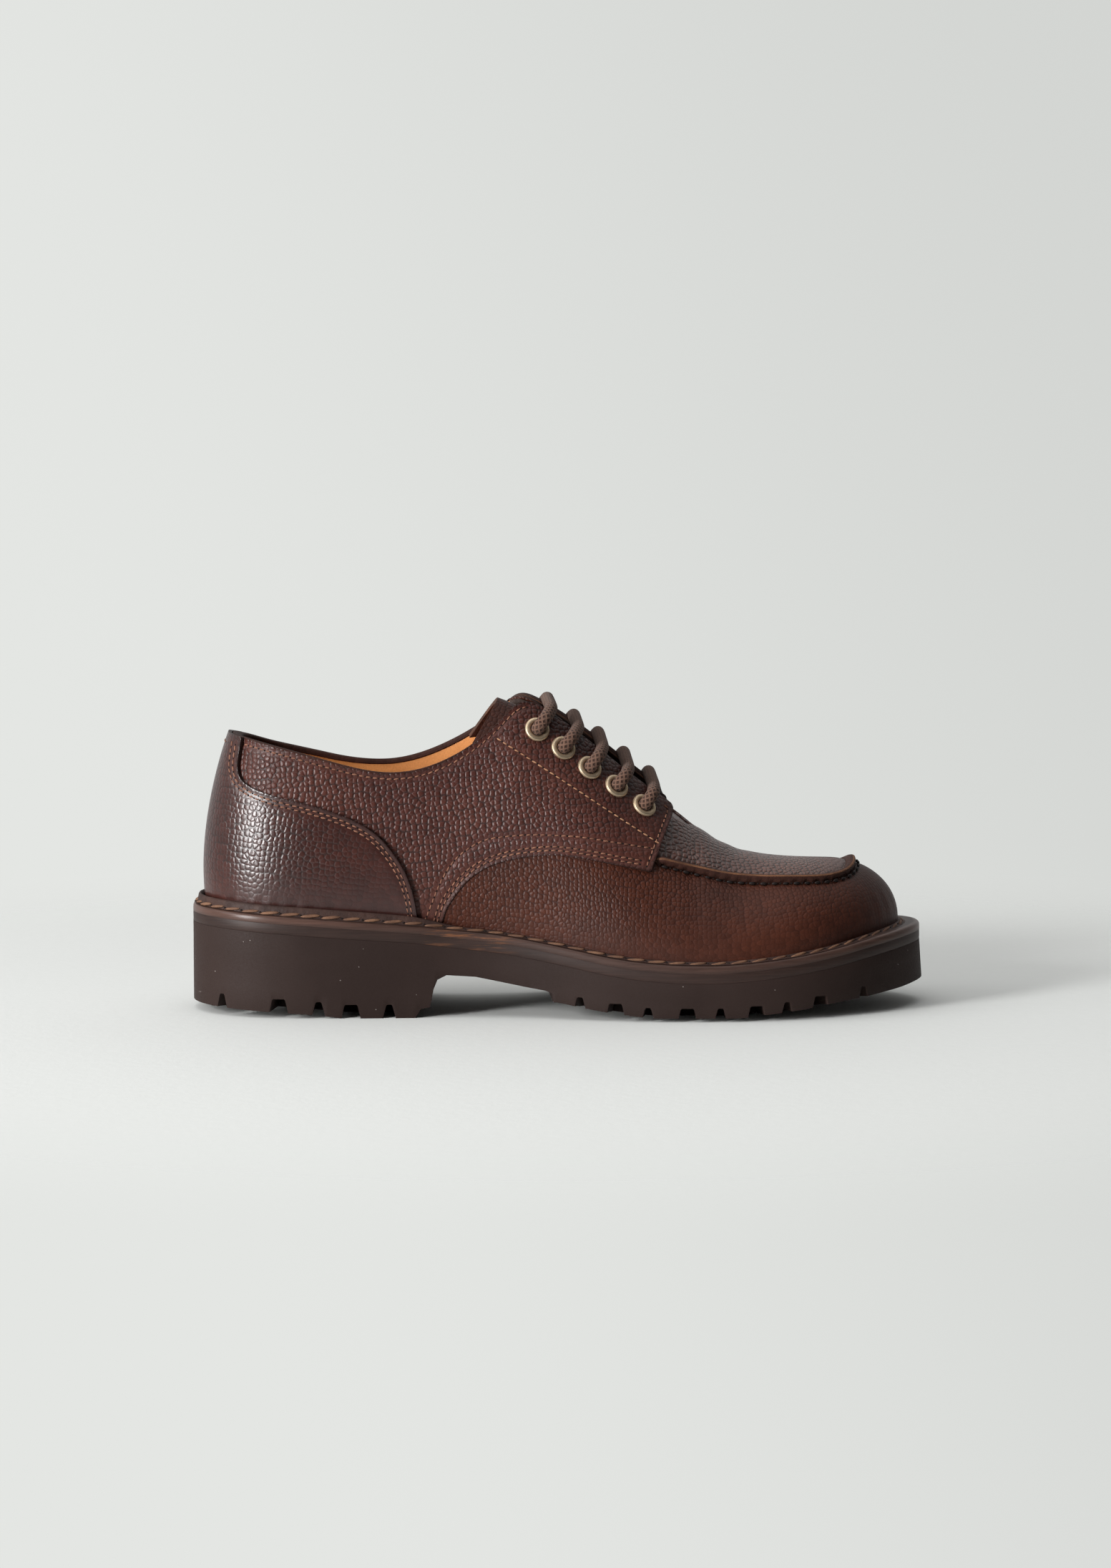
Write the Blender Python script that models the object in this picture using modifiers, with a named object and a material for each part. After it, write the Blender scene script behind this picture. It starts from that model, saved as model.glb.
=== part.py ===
"""A lace-up derby shoe with a raised apron seam and a cleated rubber sole: a right shoe, standing empty.

The last is one surface: ribs that start on the foot line, where the upper meets the sole, and climb to
the collar, to the facing or to the middle of the vamp. Each piece is taken from that surface, or from the
foot line. Tables are in millimetres, measured from the back of the sole (x), from the heel's middle (y, the
little-toe side negative) and from the floor (z). Meshes are written in metres.
"""

import math

import bmesh
import bpy
import numpy as np
from mathutils import Vector

MM = 0.001

# Driving sizes, in millimetres
CLEARANCE = 0.3  # between pieces that touch on the real shoe
LAYER_GAP = 0.4  # under a leather laid over the wall
UPPER_WALL = 2.0  # vamp leather and lining
OVERLAY = 1.4  # quarter and counter leather
WELT = 3.2
MIDSOLE = 3.2
INSOLE = 2.8
TONGUE = 2.4
LUG_DEPTH = 3.8
FOOT_GAP = 1.3  # from the foot line out to the welt's inner edge, which clears the wall's bulge
EYELET_BORE = 2.95
EYELET_BARREL = 3.3
EYELET_FLANGE = 4.6
EYELET_HOLE = 3.6
# (place along the shoe, distance down from the facing edge)
EYELETS = ((131.7, 11.6), (141.6, 13.6), (151.6, 13.9), (161.9, 12.8), (172.5, 12.0))
EYELET_COUNT = len(EYELETS)
LACE_DIAMETER = 4.6
LACE_RISE = ((-0.5, 0.0), (1.8, 0.0), (3.6, 0.3), (5.4, 2.2))  # out of an eyelet: (up, towards the edge)
LACE_CREST = 5.0  # above the facing, halfway to its edge
LACE_LEAN = 0.14  # ribs forward, from the eyelet to the edge
LACE_LIFT, LACE_BOW = 2.6, 0.4  # above the facing edge, and more in the middle
SEAM_PROFILE = ((-1.5, 0.4), (1.5, 0.4), (1.35, 2.1), (0.6, 3.0), (-0.75, 3.0))  # (across, up) off the wall

# Mesh density: how many steps from one rib to another, closer together round the heel and the toe
RIB_SPANS = ((0.0, 2.5, 8), (2.5, 10.0, 15), (10.0, 12.0, 4), (12.0, 15.0, 9))
SOLE_SPANS = (
    (0.0, 2.5, 8), (2.5, 3.45, 2), (3.45, 4.8, 2), (4.8, 8.75, 5), (8.75, 10.85, 3), (10.85, 12.0, 2),
    (12.0, 15.0, 9),
)
RIB_STEPS = 8

# One row for each rib of the last, from the middle of the heel to the tip of the toe.
# lat/med: foot line on the little-toe and big-toe side; reach: how far the sole stands out from it;
# layers: leather laid over the wall; lip: height of the welt's storm lip;
# top: where the rib ends, gap apart about mid, and lower by dip on the big-toe side, whose facing is higher;
# out, rise, lean, crest: the rib's two inner control points; stand: how far the facing stands off the vamp.
RIB_COLUMNS = (
    "lat_x", "lat_y", "med_x", "med_y", "reach", "layers", "lip",
    "top_x", "mid", "gap", "top_z", "dip", "out", "rise", "lean", "crest", "stand",
)
RIBS = (
    # middle of the heel
    (9.5, 0.0, 9.5, 0.0, 9.3, 3.6, 3.6, 17.5, 0.0, 0.0, 105.4, 0.0, 4.5, 0.28, 0.06, 0.69, 0.0),
    (14.0, -14.3, 14.0, 13.9, 9.2, 3.6, 3.6, 20.5, 0.0, 12.8, 105.0, 0.7, 4.5, 0.28, 0.08, 0.69, 0.0),
    (28.5, -24.5, 28.5, 23.8, 8.9, 3.6, 3.6, 33.5, 0.0, 22.8, 102.0, 2.1, 4.5, 0.28, 0.10, 0.69, 0.0),
    (52.0, -27.8, 52.0, 26.0, 8.5, 3.6, 3.6, 52.5, 0.0, 25.8, 96.8, 1.4, 4.0, 0.28, 0.10, 0.70, 0.0),
    # breast of the heel, waist and instep
    (80.0, -28.3, 80.0, 23.6, 8.2, 3.6, 3.2, 75.0, 0.0, 26.3, 92.4, -0.4, 3.5, 0.30, 0.05, 0.70, 0.0),
    (104.0, -29.6, 104.0, 21.6, 7.2, 1.8, 1.0, 98.0, 0.0, 24.6, 97.6, -1.5, 3.5, 0.30, 0.10, 0.70, 0.0),
    (121.0, -32.6, 121.5, 23.0, 6.4, 0.0, 1.0, 118.0, 0.0, 19.0, 111.2, -1.0, 3.5, 0.30, 0.25, 0.75, 0.5),
    # facing, from its top to the throat
    (137.0, -36.8, 138.5, 27.5, 6.2, 0.0, 1.0, 131.0, 0.0, 12.5, 115.2, -1.6, 3.8, 0.30, 0.38, 0.78, 1.6),
    (160.0, -43.2, 163.5, 35.5, 6.0, 0.0, 1.0, 159.5, 0.0, 10.0, 90.8, -3.4, 4.6, 0.36, 0.45, 0.82, 4.0),
    (181.5, -46.8, 187.0, 40.5, 6.0, 0.0, 1.0, 184.5, 0.0, 9.2, 72.2, -2.0, 4.6, 0.37, 0.55, 0.83, 5.0),
    # vamp, ball and toe
    (193.0, -47.5, 199.0, 41.6, 6.0, 0.0, 1.0, 194.0, 0.0, 0.0, 67.2, 0.0, 5.0, 0.43, 0.66, 1.0, 6.0),
    (208.0, -47.3, 213.0, 41.5, 6.0, 0.0, 1.0, 206.5, 0.4, 0.0, 59.9, 0.0, 5.0, 0.47, 0.61, 1.0, 0.0),
    (229.0, -43.2, 233.0, 38.6, 6.3, 0.0, 1.0, 223.0, 1.0, 0.0, 55.8, 0.0, 4.5, 0.51, 0.38, 1.0, 0.0),
    (248.7, -32.5, 251.7, 30.5, 7.5, 0.0, 1.0, 235.0, 1.6, 0.0, 55.0, 0.0, 4.3, 0.55, 0.37, 1.0, 0.0),
    (263.7, -16.6, 264.9, 19.5, 9.0, 0.0, 1.0, 241.5, 2.1, 0.0, 54.9, 0.0, 3.8, 0.56, 0.35, 1.0, 0.0),
    # tip of the toe
    (271.3, 2.5, 271.3, 2.5, 10.2, 0.0, 1.0, 244.3, 2.5, 0.0, 54.9, 0.0, 3.4, 0.56, 0.33, 1.0, 0.0),
)
TOE_RIB = len(RIBS) - 1
CLOSED_RIB = 10  # from here to the toe the two sides meet in the middle of the vamp
HEEL_OPENING = 19.0  # how fast the gap grows from the heel's middle, for a round collar

# Height of the welt's top, and of the tread, along the shoe
SEAT_LINE = (
    (0, 40.8), (30, 39.3), (60, 37.2), (85, 35.4), (100, 33.6), (116, 31.8), (132, 29.2), (146, 26.5),
    (158, 24.2), (171, 22.5), (184, 21.7), (196, 21.5), (210, 22.2), (227, 23.9), (242, 26.0), (256, 28.5),
    (268, 30.3), (282, 31.6),
)
TREAD_LINE = (
    (-5, 3.6), (0, 3.5), (20, 2.8), (45, 1.4), (62, 0), (100, 0), (110, 0.5), (137, 5.2), (146, 3.7),
    (155, 2.2), (165, 0.9), (176, 0), (205, 0), (216, 1.0), (230, 2.4), (245, 4.6), (258, 6.3), (270, 8.0),
    (284, 10.0),
)
EDGE_LIFT = ((95, 0), (137, 1.4), (235, 1.4), (262, 0.8), (284, 0))  # the tread's edge curls up a little
LIFT_COLUMNS = (0.0, 0.1, 0.2, 0.8, 0.9, 1.0)  # across the tread
FLARE_LINE = ((0, 0), (230, 0), (284, 1.0))  # the sole's foot stands out at the toe

# Side outline of the gap under the arch, from the heel's last lug to the first lug of the forefoot
ARCH_OUTLINE = (
    (84.7, -2), (84.7, 0), (86.9, 3.4), (90.4, 4.2), (91.7, 11.0), (93.2, 14.6), (96.6, 16.3), (107.5, 15.7),
    (117, 13.9), (126, 12.2), (134, 10.9), (136.3, 9.9), (137, 7.5), (137, -2),
)
# Notches in the sole's edge, by turns narrow and wide: (width at the mouth, width at the root)
NARROW, WIDE = (4.9, 1.7), (7.2, 4.4)
HEEL_NOTCHES = (10.5, 31.7, 45.7, 59.0, 73.9)
FOREFOOT_NOTCHES = (147.7, 161.4, 174.0, 188.6, 202.0, 216.0, 228.2, 241.0, 257.5)
NOTCH_LENGTH = 17.0
UNDER = 4.0  # how far the cutters reach below the tread
WELT_MIDDLE = 6.5  # from the foot line
CHANNELS = ((22.0, 82.0), (143.0, 246.0))  # grooves inside the edge lugs, (from, to) along the shoe
CHANNEL_INSET, CHANNEL_WIDTH, CHANNEL_DEPTH = 21.0, 3.2, 3.0
CROSS_GROOVES = (31.7, 52.0, 72.0, 155.0, 178.0, 201.0, 223.0)  # between the two channels

# Side outlines of the overlays on the little-toe side, mirrored for the other
COUNTER_EDGE = (
    (86.2, 20.0), (85.8, 36.0), (84.6, 44.0), (82.0, 52.8), (76.8, 62.0), (69.0, 70.3), (58.0, 76.3),
    (45.0, 80.6), (32.0, 83.8), (23.5, 86.8), (19.6, 90.0), (18.6, 94.0), (19.2, 99.0), (20.6, 130.0),
)
QUARTER_ARCH = (
    (94.0, 20.0), (94.5, 32.5), (96.6, 40.5), (100.8, 47.1), (106.5, 53.2), (115.0, 58.0), (126.0, 60.7),
    (137.0, 61.6), (148.0, 60.3), (161.5, 57.5), (173.8, 54.9),
)
QUARTER_FRONT = ((177.2, 63.5), (180.2, 70.5), (182.2, 76.5), (182.6, 81.0), (181.2, 84.0), (179.0, 130.0))

# Apron seam, seen from above: straight sides that close round the toe
# (place along the shoe, half width on the little-toe side and on the other)
APRON_SIDES = (
    (178.5, 32.0, 29.2), (185.0, 30.7, 28.4), (192.0, 29.3, 27.5), (206.0, 28.0, 26.7), (220.0, 27.5, 26.5),
)
APRON_FRONT_X, APRON_POWER = 254.0, 2.3

# Tongue: middle line, half width and how far its sides drop
TONGUE_ROWS = (
    (199.0, 58.9, 8.0, 1.5), (188.5, 65.2, 11.5, 3.5), (176.0, 76.9, 13.5, 6.0), (162.0, 89.2, 14.5, 8.0),
    (140.0, 106.0, 16.5, 11.0), (126.0, 114.4, 16.5, 11.0), (117.5, 118.8, 16.0, 10.0),
)
TONGUE_SLOPE = math.radians(33)

MATERIALS = {  # base colour, roughness, metallic
    "grain_leather": ((0.105, 0.042, 0.032), 0.5, 0.0),
    "welt_leather": ((0.075, 0.035, 0.028), 0.5, 0.0),
    "lining_leather": ((0.42, 0.21, 0.09), 0.6, 0.0),
    "rubber": ((0.040, 0.026, 0.023), 0.75, 0.0),
    "eyelet_brass": ((0.50, 0.42, 0.30), 0.35, 1.0),
    "lace_cotton": ((0.060, 0.040, 0.035), 0.9, 0.0),
}


class LoopSpline:
    """A smooth closed curve through one value at each whole step of a loop."""

    def __init__(self, values):
        self.values = np.asarray(values, float)
        count = len(self.values)
        next_one = np.roll(np.eye(count), 1, axis=1)
        bend = np.roll(self.values, -1) - 2 * self.values + np.roll(self.values, 1)
        self.bends = np.linalg.solve(4 * np.eye(count) + next_one + next_one.T, 6 * bend)

    def __call__(self, where):
        first = int(math.floor(where)) % len(self.values)
        second = (first + 1) % len(self.values)
        t = where - math.floor(where)
        ends = (self.values[first] - self.bends[first] / 6, self.values[second] - self.bends[second] / 6)
        curve = (self.bends[first] * (1 - t) ** 3 + self.bends[second] * t**3) / 6
        return curve + ends[0] * (1 - t) + ends[1] * t


def steady_line(points, start_slope=0.0):
    """A smooth function through (place, value) points that never overshoots them."""
    places, values = (np.array(column, float) for column in zip(*points))
    steps = np.diff(places)
    slopes = np.diff(values) / steps
    tangents = np.zeros(len(values))
    tangents[0] = start_slope
    for i in range(1, len(values) - 1):
        if slopes[i - 1] * slopes[i] > 0:
            tangents[i] = 2 * slopes[i - 1] * slopes[i] / (slopes[i - 1] + slopes[i])

    def value(place):
        place = min(max(place, places[0]), places[-1])
        i = min(max(int(np.searchsorted(places, place)) - 1, 0), len(steps) - 1)
        t = (place - places[i]) / steps[i]
        start = (1 + 2 * t) * (1 - t) ** 2 * values[i] + t * (1 - t) ** 2 * steps[i] * tangents[i]
        end = t * t * (3 - 2 * t) * values[i + 1] + t * t * (t - 1) * steps[i] * tangents[i + 1]
        return start + end

    return value


def smooth_step(low, high, value):
    t = min(max((value - low) / (high - low), 0.0), 1.0)
    return t * t * (3 - 2 * t)


class Last:
    """The shoe's surface. A place on it is (side, rib, t).

    side is -1 for the little-toe side and +1 for the other, rib runs from 0 at the heel's middle to TOE_RIB
    at the toe, and t from 0 on the foot line to 1 at the top."""

    def __init__(self):
        column = {name: [row[i] for row in RIBS] for i, name in enumerate(RIB_COLUMNS)}
        inner = slice(TOE_RIB - 1, 0, -1)
        self.foot_x = LoopSpline(column["lat_x"] + column["med_x"][inner])
        self.foot_y = LoopSpline(column["lat_y"] + column["med_y"][inner])
        self.even = {
            name: LoopSpline(values + values[inner])
            for name, values in column.items()
            if name in ("reach", "top_x", "mid", "top_z", "out", "rise", "lean", "crest")
        }
        self.steady = {
            name: steady_line(list(enumerate(column[name])))
            for name in ("dip", "layers", "lip", "stand")
        }
        self.steady["gap"] = steady_line(list(enumerate(column["gap"])), HEEL_OPENING)
        self.seat = steady_line(SEAT_LINE)
        self.tread = steady_line(TREAD_LINE)

    def foot(self, side, rib):
        """Point of the foot line, in plan."""
        loop = rib if side < 0 else 2 * TOE_RIB - rib
        return np.array([self.foot_x(loop), self.foot_y(loop)])

    def outward(self, side, rib):
        """Unit direction that leads away from the foot, in plan."""
        step = 1e-3
        along = (self.foot(side, rib + step) - self.foot(side, rib - step)) * (1 if side < 0 else -1)
        return np.array([along[1], -along[0]]) / np.hypot(*along)

    def edge(self, side, rib, distance):
        """Point at a distance outside the foot line, in plan."""
        return self.foot(side, rib) + self.outward(side, rib) * distance

    def top(self, side, rib):
        sideways = self.even["mid"](rib) + side * self.steady["gap"](rib)
        height = self.even["top_z"](rib) - (self.steady["dip"](rib) if side > 0 else 0.0)
        return np.array([self.even["top_x"](rib), sideways, height])

    def point(self, side, rib, t):
        foot = self.foot(side, rib)
        base = np.array([*foot, self.seat(foot[0]) - WELT])
        top = self.top(side, rib)
        rise = top[2] - base[2]
        low = np.array([*(foot + self.outward(side, rib) * self.even["out"](rib)), 0.0])
        low[2] = base[2] + rise * self.even["rise"](rib)
        high = base + (top - base) * self.even["lean"](rib)
        high[2] = base[2] + rise * self.even["crest"](rib)
        s = 1 - t
        return s**3 * base + 3 * s * s * t * low + 3 * s * t * t * high + t**3 * top

    def normal(self, side, rib, t):
        """Unit direction out of the wall."""
        step = 1e-3
        up_to = min(t + step, 1.0)
        along = self.point(side, rib + step, t) - self.point(side, rib - step, t)
        up = self.point(side, rib, up_to) - self.point(side, rib, up_to - 2 * step)
        across = np.cross(along, up) * (1 if side < 0 else -1)
        return across / np.linalg.norm(across)

    def offset(self, side, rib, t, distance):
        return self.point(side, rib, t) + self.normal(side, rib, t) * distance

    def locate(self, side, axes, target):
        """The (rib, t) whose point has the target values on two axes."""
        target = np.array(target, float)
        starts = [(rib, t) for rib in np.linspace(0.5, TOE_RIB - 0.5, 30) for t in np.linspace(0.1, 0.9, 9)]
        rib, t = min(starts, key=lambda at: np.abs(self.point(side, *at)[axes] - target).sum())
        step = 1e-4
        for _ in range(12):
            here = self.point(side, rib, t)[axes]
            by_rib = (self.point(side, rib + step, t)[axes] - here) / step
            by_t = (self.point(side, rib, t + step)[axes] - here) / step
            move = np.linalg.lstsq(np.column_stack([by_rib, by_t]), target - here, rcond=None)[0]
            rib += float(np.clip(move[0], -0.5, 0.5))
            t += float(np.clip(move[1], -0.1, 0.1))
        return rib, t

    def t_at_height(self, side, rib, height):
        """The t at which a rib reaches a height."""
        low, high = 0.0, 1.0
        for _ in range(40):
            middle = (low + high) / 2
            low, high = (middle, high) if self.point(side, rib, middle)[2] < height else (low, middle)
        return (low + high) / 2


LAST = Last()
SIDE_VIEW = [0, 2]
PLAN_VIEW = [0, 1]


def rib_places(spans=RIB_SPANS):
    """Ribs from the heel to the toe, closer together where the outline turns."""
    places = [np.linspace(start, end, steps, endpoint=False) for start, end, steps in spans]
    return np.append(np.concatenate(places), TOE_RIB)


SOLE_RIBS = rib_places(SOLE_SPANS)


def sole_middle():
    """Middle of the sole's outline, which becomes the origin."""
    points = np.array([outsole_edge(side, rib, 1.0) for rib in SOLE_RIBS for side in (-1, 1)])
    return (points.max(0) + points.min(0)) / 2


def outsole_edge(side, rib, flare):
    point = LAST.edge(side, rib, LAST.even["reach"](rib))
    return point + LAST.outward(side, rib) * steady_line(FLARE_LINE)(point[0]) * flare


CENTRE = np.array([*sole_middle(), 0.0])


def to_metres(point):
    return tuple((np.asarray(point, float) - CENTRE) * MM)


def material(name):
    found = bpy.data.materials.get(name)
    if found:
        return found
    colour, roughness, metallic = MATERIALS[name]
    made = bpy.data.materials.new(name)
    made.use_nodes = True
    shader = made.node_tree.nodes["Principled BSDF"]
    shader.inputs["Base Color"].default_value = (*colour, 1.0)
    shader.inputs["Roughness"].default_value = roughness
    shader.inputs["Metallic"].default_value = metallic
    made.diffuse_color = (*colour, 1.0)
    return made


def add_mesh(name, points, faces, collection, finish=None):
    """A mesh object from points in millimetres, with doubles merged and faces turned the same way."""
    mesh = bpy.data.meshes.new(name)
    work = bmesh.new()
    corners = [work.verts.new(to_metres(p)) for p in points]
    for face in faces:
        distinct = list(dict.fromkeys(face))
        if len(distinct) > 2:
            work.faces.new([corners[i] for i in distinct])
    bmesh.ops.remove_doubles(work, verts=work.verts, dist=1e-5)
    bmesh.ops.recalc_face_normals(work, faces=work.faces)
    work.to_mesh(mesh)
    work.free()
    made = bpy.data.objects.new(name, mesh)
    collection.objects.link(made)
    if finish:
        mesh.materials.append(material(finish))
        mesh.shade_smooth()
        mesh.set_sharp_from_angle(angle=math.radians(40))
    return made


def grid_faces(rows, columns):
    return [
        (r * columns + c, r * columns + c + 1, (r + 1) * columns + c + 1, (r + 1) * columns + c)
        for r in range(rows - 1)
        for c in range(columns - 1)
    ]


def add_sheet(name, rows, thickness, offset, collection, finish):
    """A grid of points made a wall: offset -1 thickens it inwards and +1 outwards."""
    points = [p for row in rows for p in row]
    made = add_mesh(name, points, grid_faces(len(rows), len(rows[0])), collection, finish)
    thicken(made, thickness, offset)
    return made


def thicken(made, thickness, offset):
    wall = made.modifiers.new("wall", "SOLIDIFY")
    wall.thickness = thickness * MM
    wall.offset = offset
    wall.use_even_offset = True


def turn_outward(made, inside):
    """Turns an open sheet's faces away from a point inside the shoe."""
    middle = Vector(to_metres(inside))
    mesh = made.data
    facing = sum((face.center - middle).dot(face.normal) * face.area for face in mesh.polygons)
    if facing < 0:
        mesh.flip_normals()


def add_loft(name, rings, closed, collection, finish=None):
    """A solid swept through rings of equal length, capped at its ends unless it runs round in a loop."""
    count, width = len(rings), len(rings[0])
    faces = []
    for ring in range(count if closed else count - 1):
        near, far = ring * width, (ring + 1) % count * width
        for c in range(width):
            after = (c + 1) % width
            faces.append((near + c, near + after, far + after, far + c))
    if not closed:
        faces += [tuple(range(width)), tuple(range((count - 1) * width, count * width))]
    return add_mesh(name, [p for ring in rings for p in ring], faces, collection, finish)


def cut(made, cutters):
    """Takes every mesh of a collection out of an object."""
    hollow = made.modifiers.new("cut", "BOOLEAN")
    hollow.operation = "DIFFERENCE"
    hollow.solver = "EXACT"
    hollow.operand_type = "COLLECTION"
    hollow.collection = cutters


def trim(made, cutter, operation):
    """Cuts an object to a side outline."""
    shaped = made.modifiers.new("trim", "BOOLEAN")
    shaped.operation = operation
    shaped.solver = "EXACT"
    shaped.object = cutter


def side_prism(name, outline, cutters):
    """A side outline run through the whole width of the shoe."""
    wide = 90.0
    rings = [[(x, y, z) for x, z in outline] for y in (-wide, wide)]
    return hide_cutter(add_loft(name, rings, False, cutters))


def new_collection(name, helper=False):
    made = bpy.data.collections.new(name)
    bpy.context.scene.collection.children.link(made)
    made.hide_render = helper
    return made


def hide_cutter(made):
    made.hide_render = True
    made.display_type = "WIRE"
    return made


def make_outsole(shoe, cutters):
    """Rubber unit: a blank of full depth, cut away under the arch and between the lugs."""
    ribs = SOLE_RIBS
    lift = steady_line(EDGE_LIFT)
    points, faces = [], []
    columns = len(LIFT_COLUMNS)
    for rib in ribs:
        ends = [outsole_edge(side, rib, 1.0) for side in (-1, 1)]
        for share in LIFT_COLUMNS:
            x, y = ends[0] + (ends[1] - ends[0]) * share
            curl = lift(x) * smooth_step(0.6, 1.0, abs(2 * share - 1))
            points.append((x, y, LAST.tread(x) + curl))
    top = len(points)
    for rib in ribs:
        for side in (-1, 1):
            x, y = outsole_edge(side, rib, 0.0)
            points.append((x, y, LAST.seat(x) - WELT - MIDSOLE - 2 * CLEARANCE))
    faces += grid_faces(len(ribs), columns)
    faces += [tuple(top + i for i in quad) for quad in grid_faces(len(ribs), 2)]
    for r in range(len(ribs) - 1):
        for low, high in ((0, 0), (columns - 1, 1)):
            near, far = r * columns + low, (r + 1) * columns + low
            faces.append((near, far, top + (r + 1) * 2 + high, top + r * 2 + high))
    outsole = add_mesh("outsole", points, faces, shoe, "rubber")
    side_prism("arch_cutter", ARCH_OUTLINE, cutters)
    cut_notches(cutters)
    cut_channels(cutters)
    cut_cross_grooves(cutters)
    cut(outsole, cutters)


def rib_at_x(side, x):
    """The rib whose end on the welt has a given x."""
    low, high = 0.0, float(TOE_RIB)
    for _ in range(40):
        middle = (low + high) / 2
        low, high = (middle, high) if LAST.edge(side, middle, WELT_MIDDLE)[0] < x else (low, middle)
    return (low + high) / 2


def cut_notches(cutters):
    """Tapered notches between the edge lugs, square to the sole's edge."""
    outside = 6.0
    for row in (HEEL_NOTCHES, FOREFOOT_NOTCHES):
        for number, x in enumerate(row):
            mouth, root = WIDE if number % 2 else NARROW
            half = (
                (mouth / 2, -UNDER), (mouth / 2, 0.0), (root / 2, LUG_DEPTH),
                (-root / 2, LUG_DEPTH), (-mouth / 2, 0.0), (-mouth / 2, -UNDER),
            )
            for side in (-1, 1):
                rib = rib_at_x(side, x)
                reach = LAST.even["reach"](rib)
                out = LAST.outward(side, rib)
                along = np.array([-out[1], out[0]])
                rings = []
                for distance in (reach + outside, reach - NOTCH_LENGTH):
                    middle = LAST.edge(side, rib, distance)
                    rings.append([(*(middle + along * w), LAST.tread(x) + h) for w, h in half])
                hide_cutter(add_loft("notch_cutter", rings, False, cutters))


def cut_channels(cutters):
    """Long grooves that part the edge lugs from the middle of the tread."""
    steps = 6
    for start, end in CHANNELS:
        for side in (-1, 1):
            rings = []
            for x in np.linspace(start, end, steps + 1):
                rib = rib_at_x(side, x)
                middle = LAST.even["reach"](rib) - CHANNEL_INSET
                near, far = (LAST.edge(side, rib, middle + w * CHANNEL_WIDTH / 2) for w in (-1, 1))
                top = LAST.tread(x) + CHANNEL_DEPTH
                rings.append([(*near, -UNDER), (*far, -UNDER), (*far, top), (*near, top)])
            hide_cutter(add_loft("channel_cutter", rings, False, cutters))


def cut_cross_grooves(cutters):
    """Grooves from channel to channel, which leave blocks in the middle of the tread."""
    for x in CROSS_GROOVES:
        near, far = x - CHANNEL_WIDTH / 2, x + CHANNEL_WIDTH / 2
        top = LAST.tread(x) + CHANNEL_DEPTH
        rings = []
        for side in (-1, 1):
            rib = rib_at_x(side, x)
            y = LAST.edge(side, rib, LAST.even["reach"](rib) - CHANNEL_INSET)[1]
            rings.append([(near, y, -UNDER), (far, y, -UNDER), (far, y, top), (near, y, top)])
        hide_cutter(add_loft("groove_cutter", rings, False, cutters))


def make_plate(name, distance, top_drop, thickness, shoe, finish):
    """A flat layer of the sole: its edge lies at a distance from the foot line, under the welt's top."""
    points = []
    for drop in (top_drop, top_drop + thickness):
        for rib in SOLE_RIBS:
            for side in (-1, 1):
                x, y = LAST.edge(side, rib, distance(rib))
                points.append((x, y, LAST.seat(x) - drop))
    ribs = len(SOLE_RIBS)
    top = grid_faces(ribs, 2)
    faces = top + [tuple(2 * ribs + i for i in quad) for quad in top]
    for r in range(ribs - 1):
        for side in (0, 1):
            near, far = 2 * r + side, 2 * (r + 1) + side
            faces.append((near, far, far + 2 * ribs, near + 2 * ribs))
    add_mesh(name, points, faces, shoe, finish)


def make_welt(shoe):
    """Strip round the foot with a storm lip that is high at the heel."""
    rings = []
    places = [(-1, rib) for rib in SOLE_RIBS] + [(1, rib) for rib in SOLE_RIBS[-2:0:-1]]
    for side, rib in places:
        reach = LAST.even["reach"](rib)
        lip_in = FOOT_GAP + CLEARANCE + LAST.steady["layers"](rib)
        lip = LAST.steady["lip"](rib)
        profile = (
            (FOOT_GAP, -WELT), (FOOT_GAP, 0.0), (lip_in, 0.0), (lip_in + lip * 0.25, lip),
            (lip_in + lip * 0.25 + 1.1, lip * 0.85), (lip_in + 2.4, 0.1), (reach - 0.5, -0.2), (reach, -WELT),
        )
        ring = []
        for distance, height in profile:
            x, y = LAST.edge(side, rib, distance)
            ring.append((x, y, LAST.seat(x) + height))
        rings.append(ring)
    add_loft("welt", rings, True, shoe, "welt_leather")


def make_upper(shoe, holes):
    """Vamp and back as one hollow wall, open below, at the collar and along the throat."""
    ribs = rib_places()
    steps = np.linspace(0, 1, RIB_STEPS + 1)
    rows = [[LAST.point(-1, rib, t) for t in steps] for rib in ribs]
    rows += [[LAST.point(1, rib, t) for t in steps] for rib in ribs[::-1]]
    points = [p for row in rows for p in row]
    upper = add_mesh("upper", points, grid_faces(len(rows), len(steps)), shoe, "grain_leather")
    turn_outward(upper, (140.0, 0.0, 50.0))
    thicken(upper, UPPER_WALL, -1)
    cut(upper, holes)


def quarter_point(side, rib, t, lift):
    """Point of the quarter, which stands off the vamp towards its facing edge."""
    stand = LAST.steady["stand"](rib) * smooth_step(0.35, 1.0, t)
    return LAST.offset(side, rib, t, LAYER_GAP + stand + lift)


def overlay_steps(side, rib):
    """The t of each point up a leather laid over the wall, from just above the welt."""
    seat = LAST.seat(LAST.foot(side, rib)[0])
    steps = np.linspace(0, 1, RIB_STEPS + 1)
    steps[0] = LAST.t_at_height(side, rib, seat + OVERLAY)
    return steps


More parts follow.
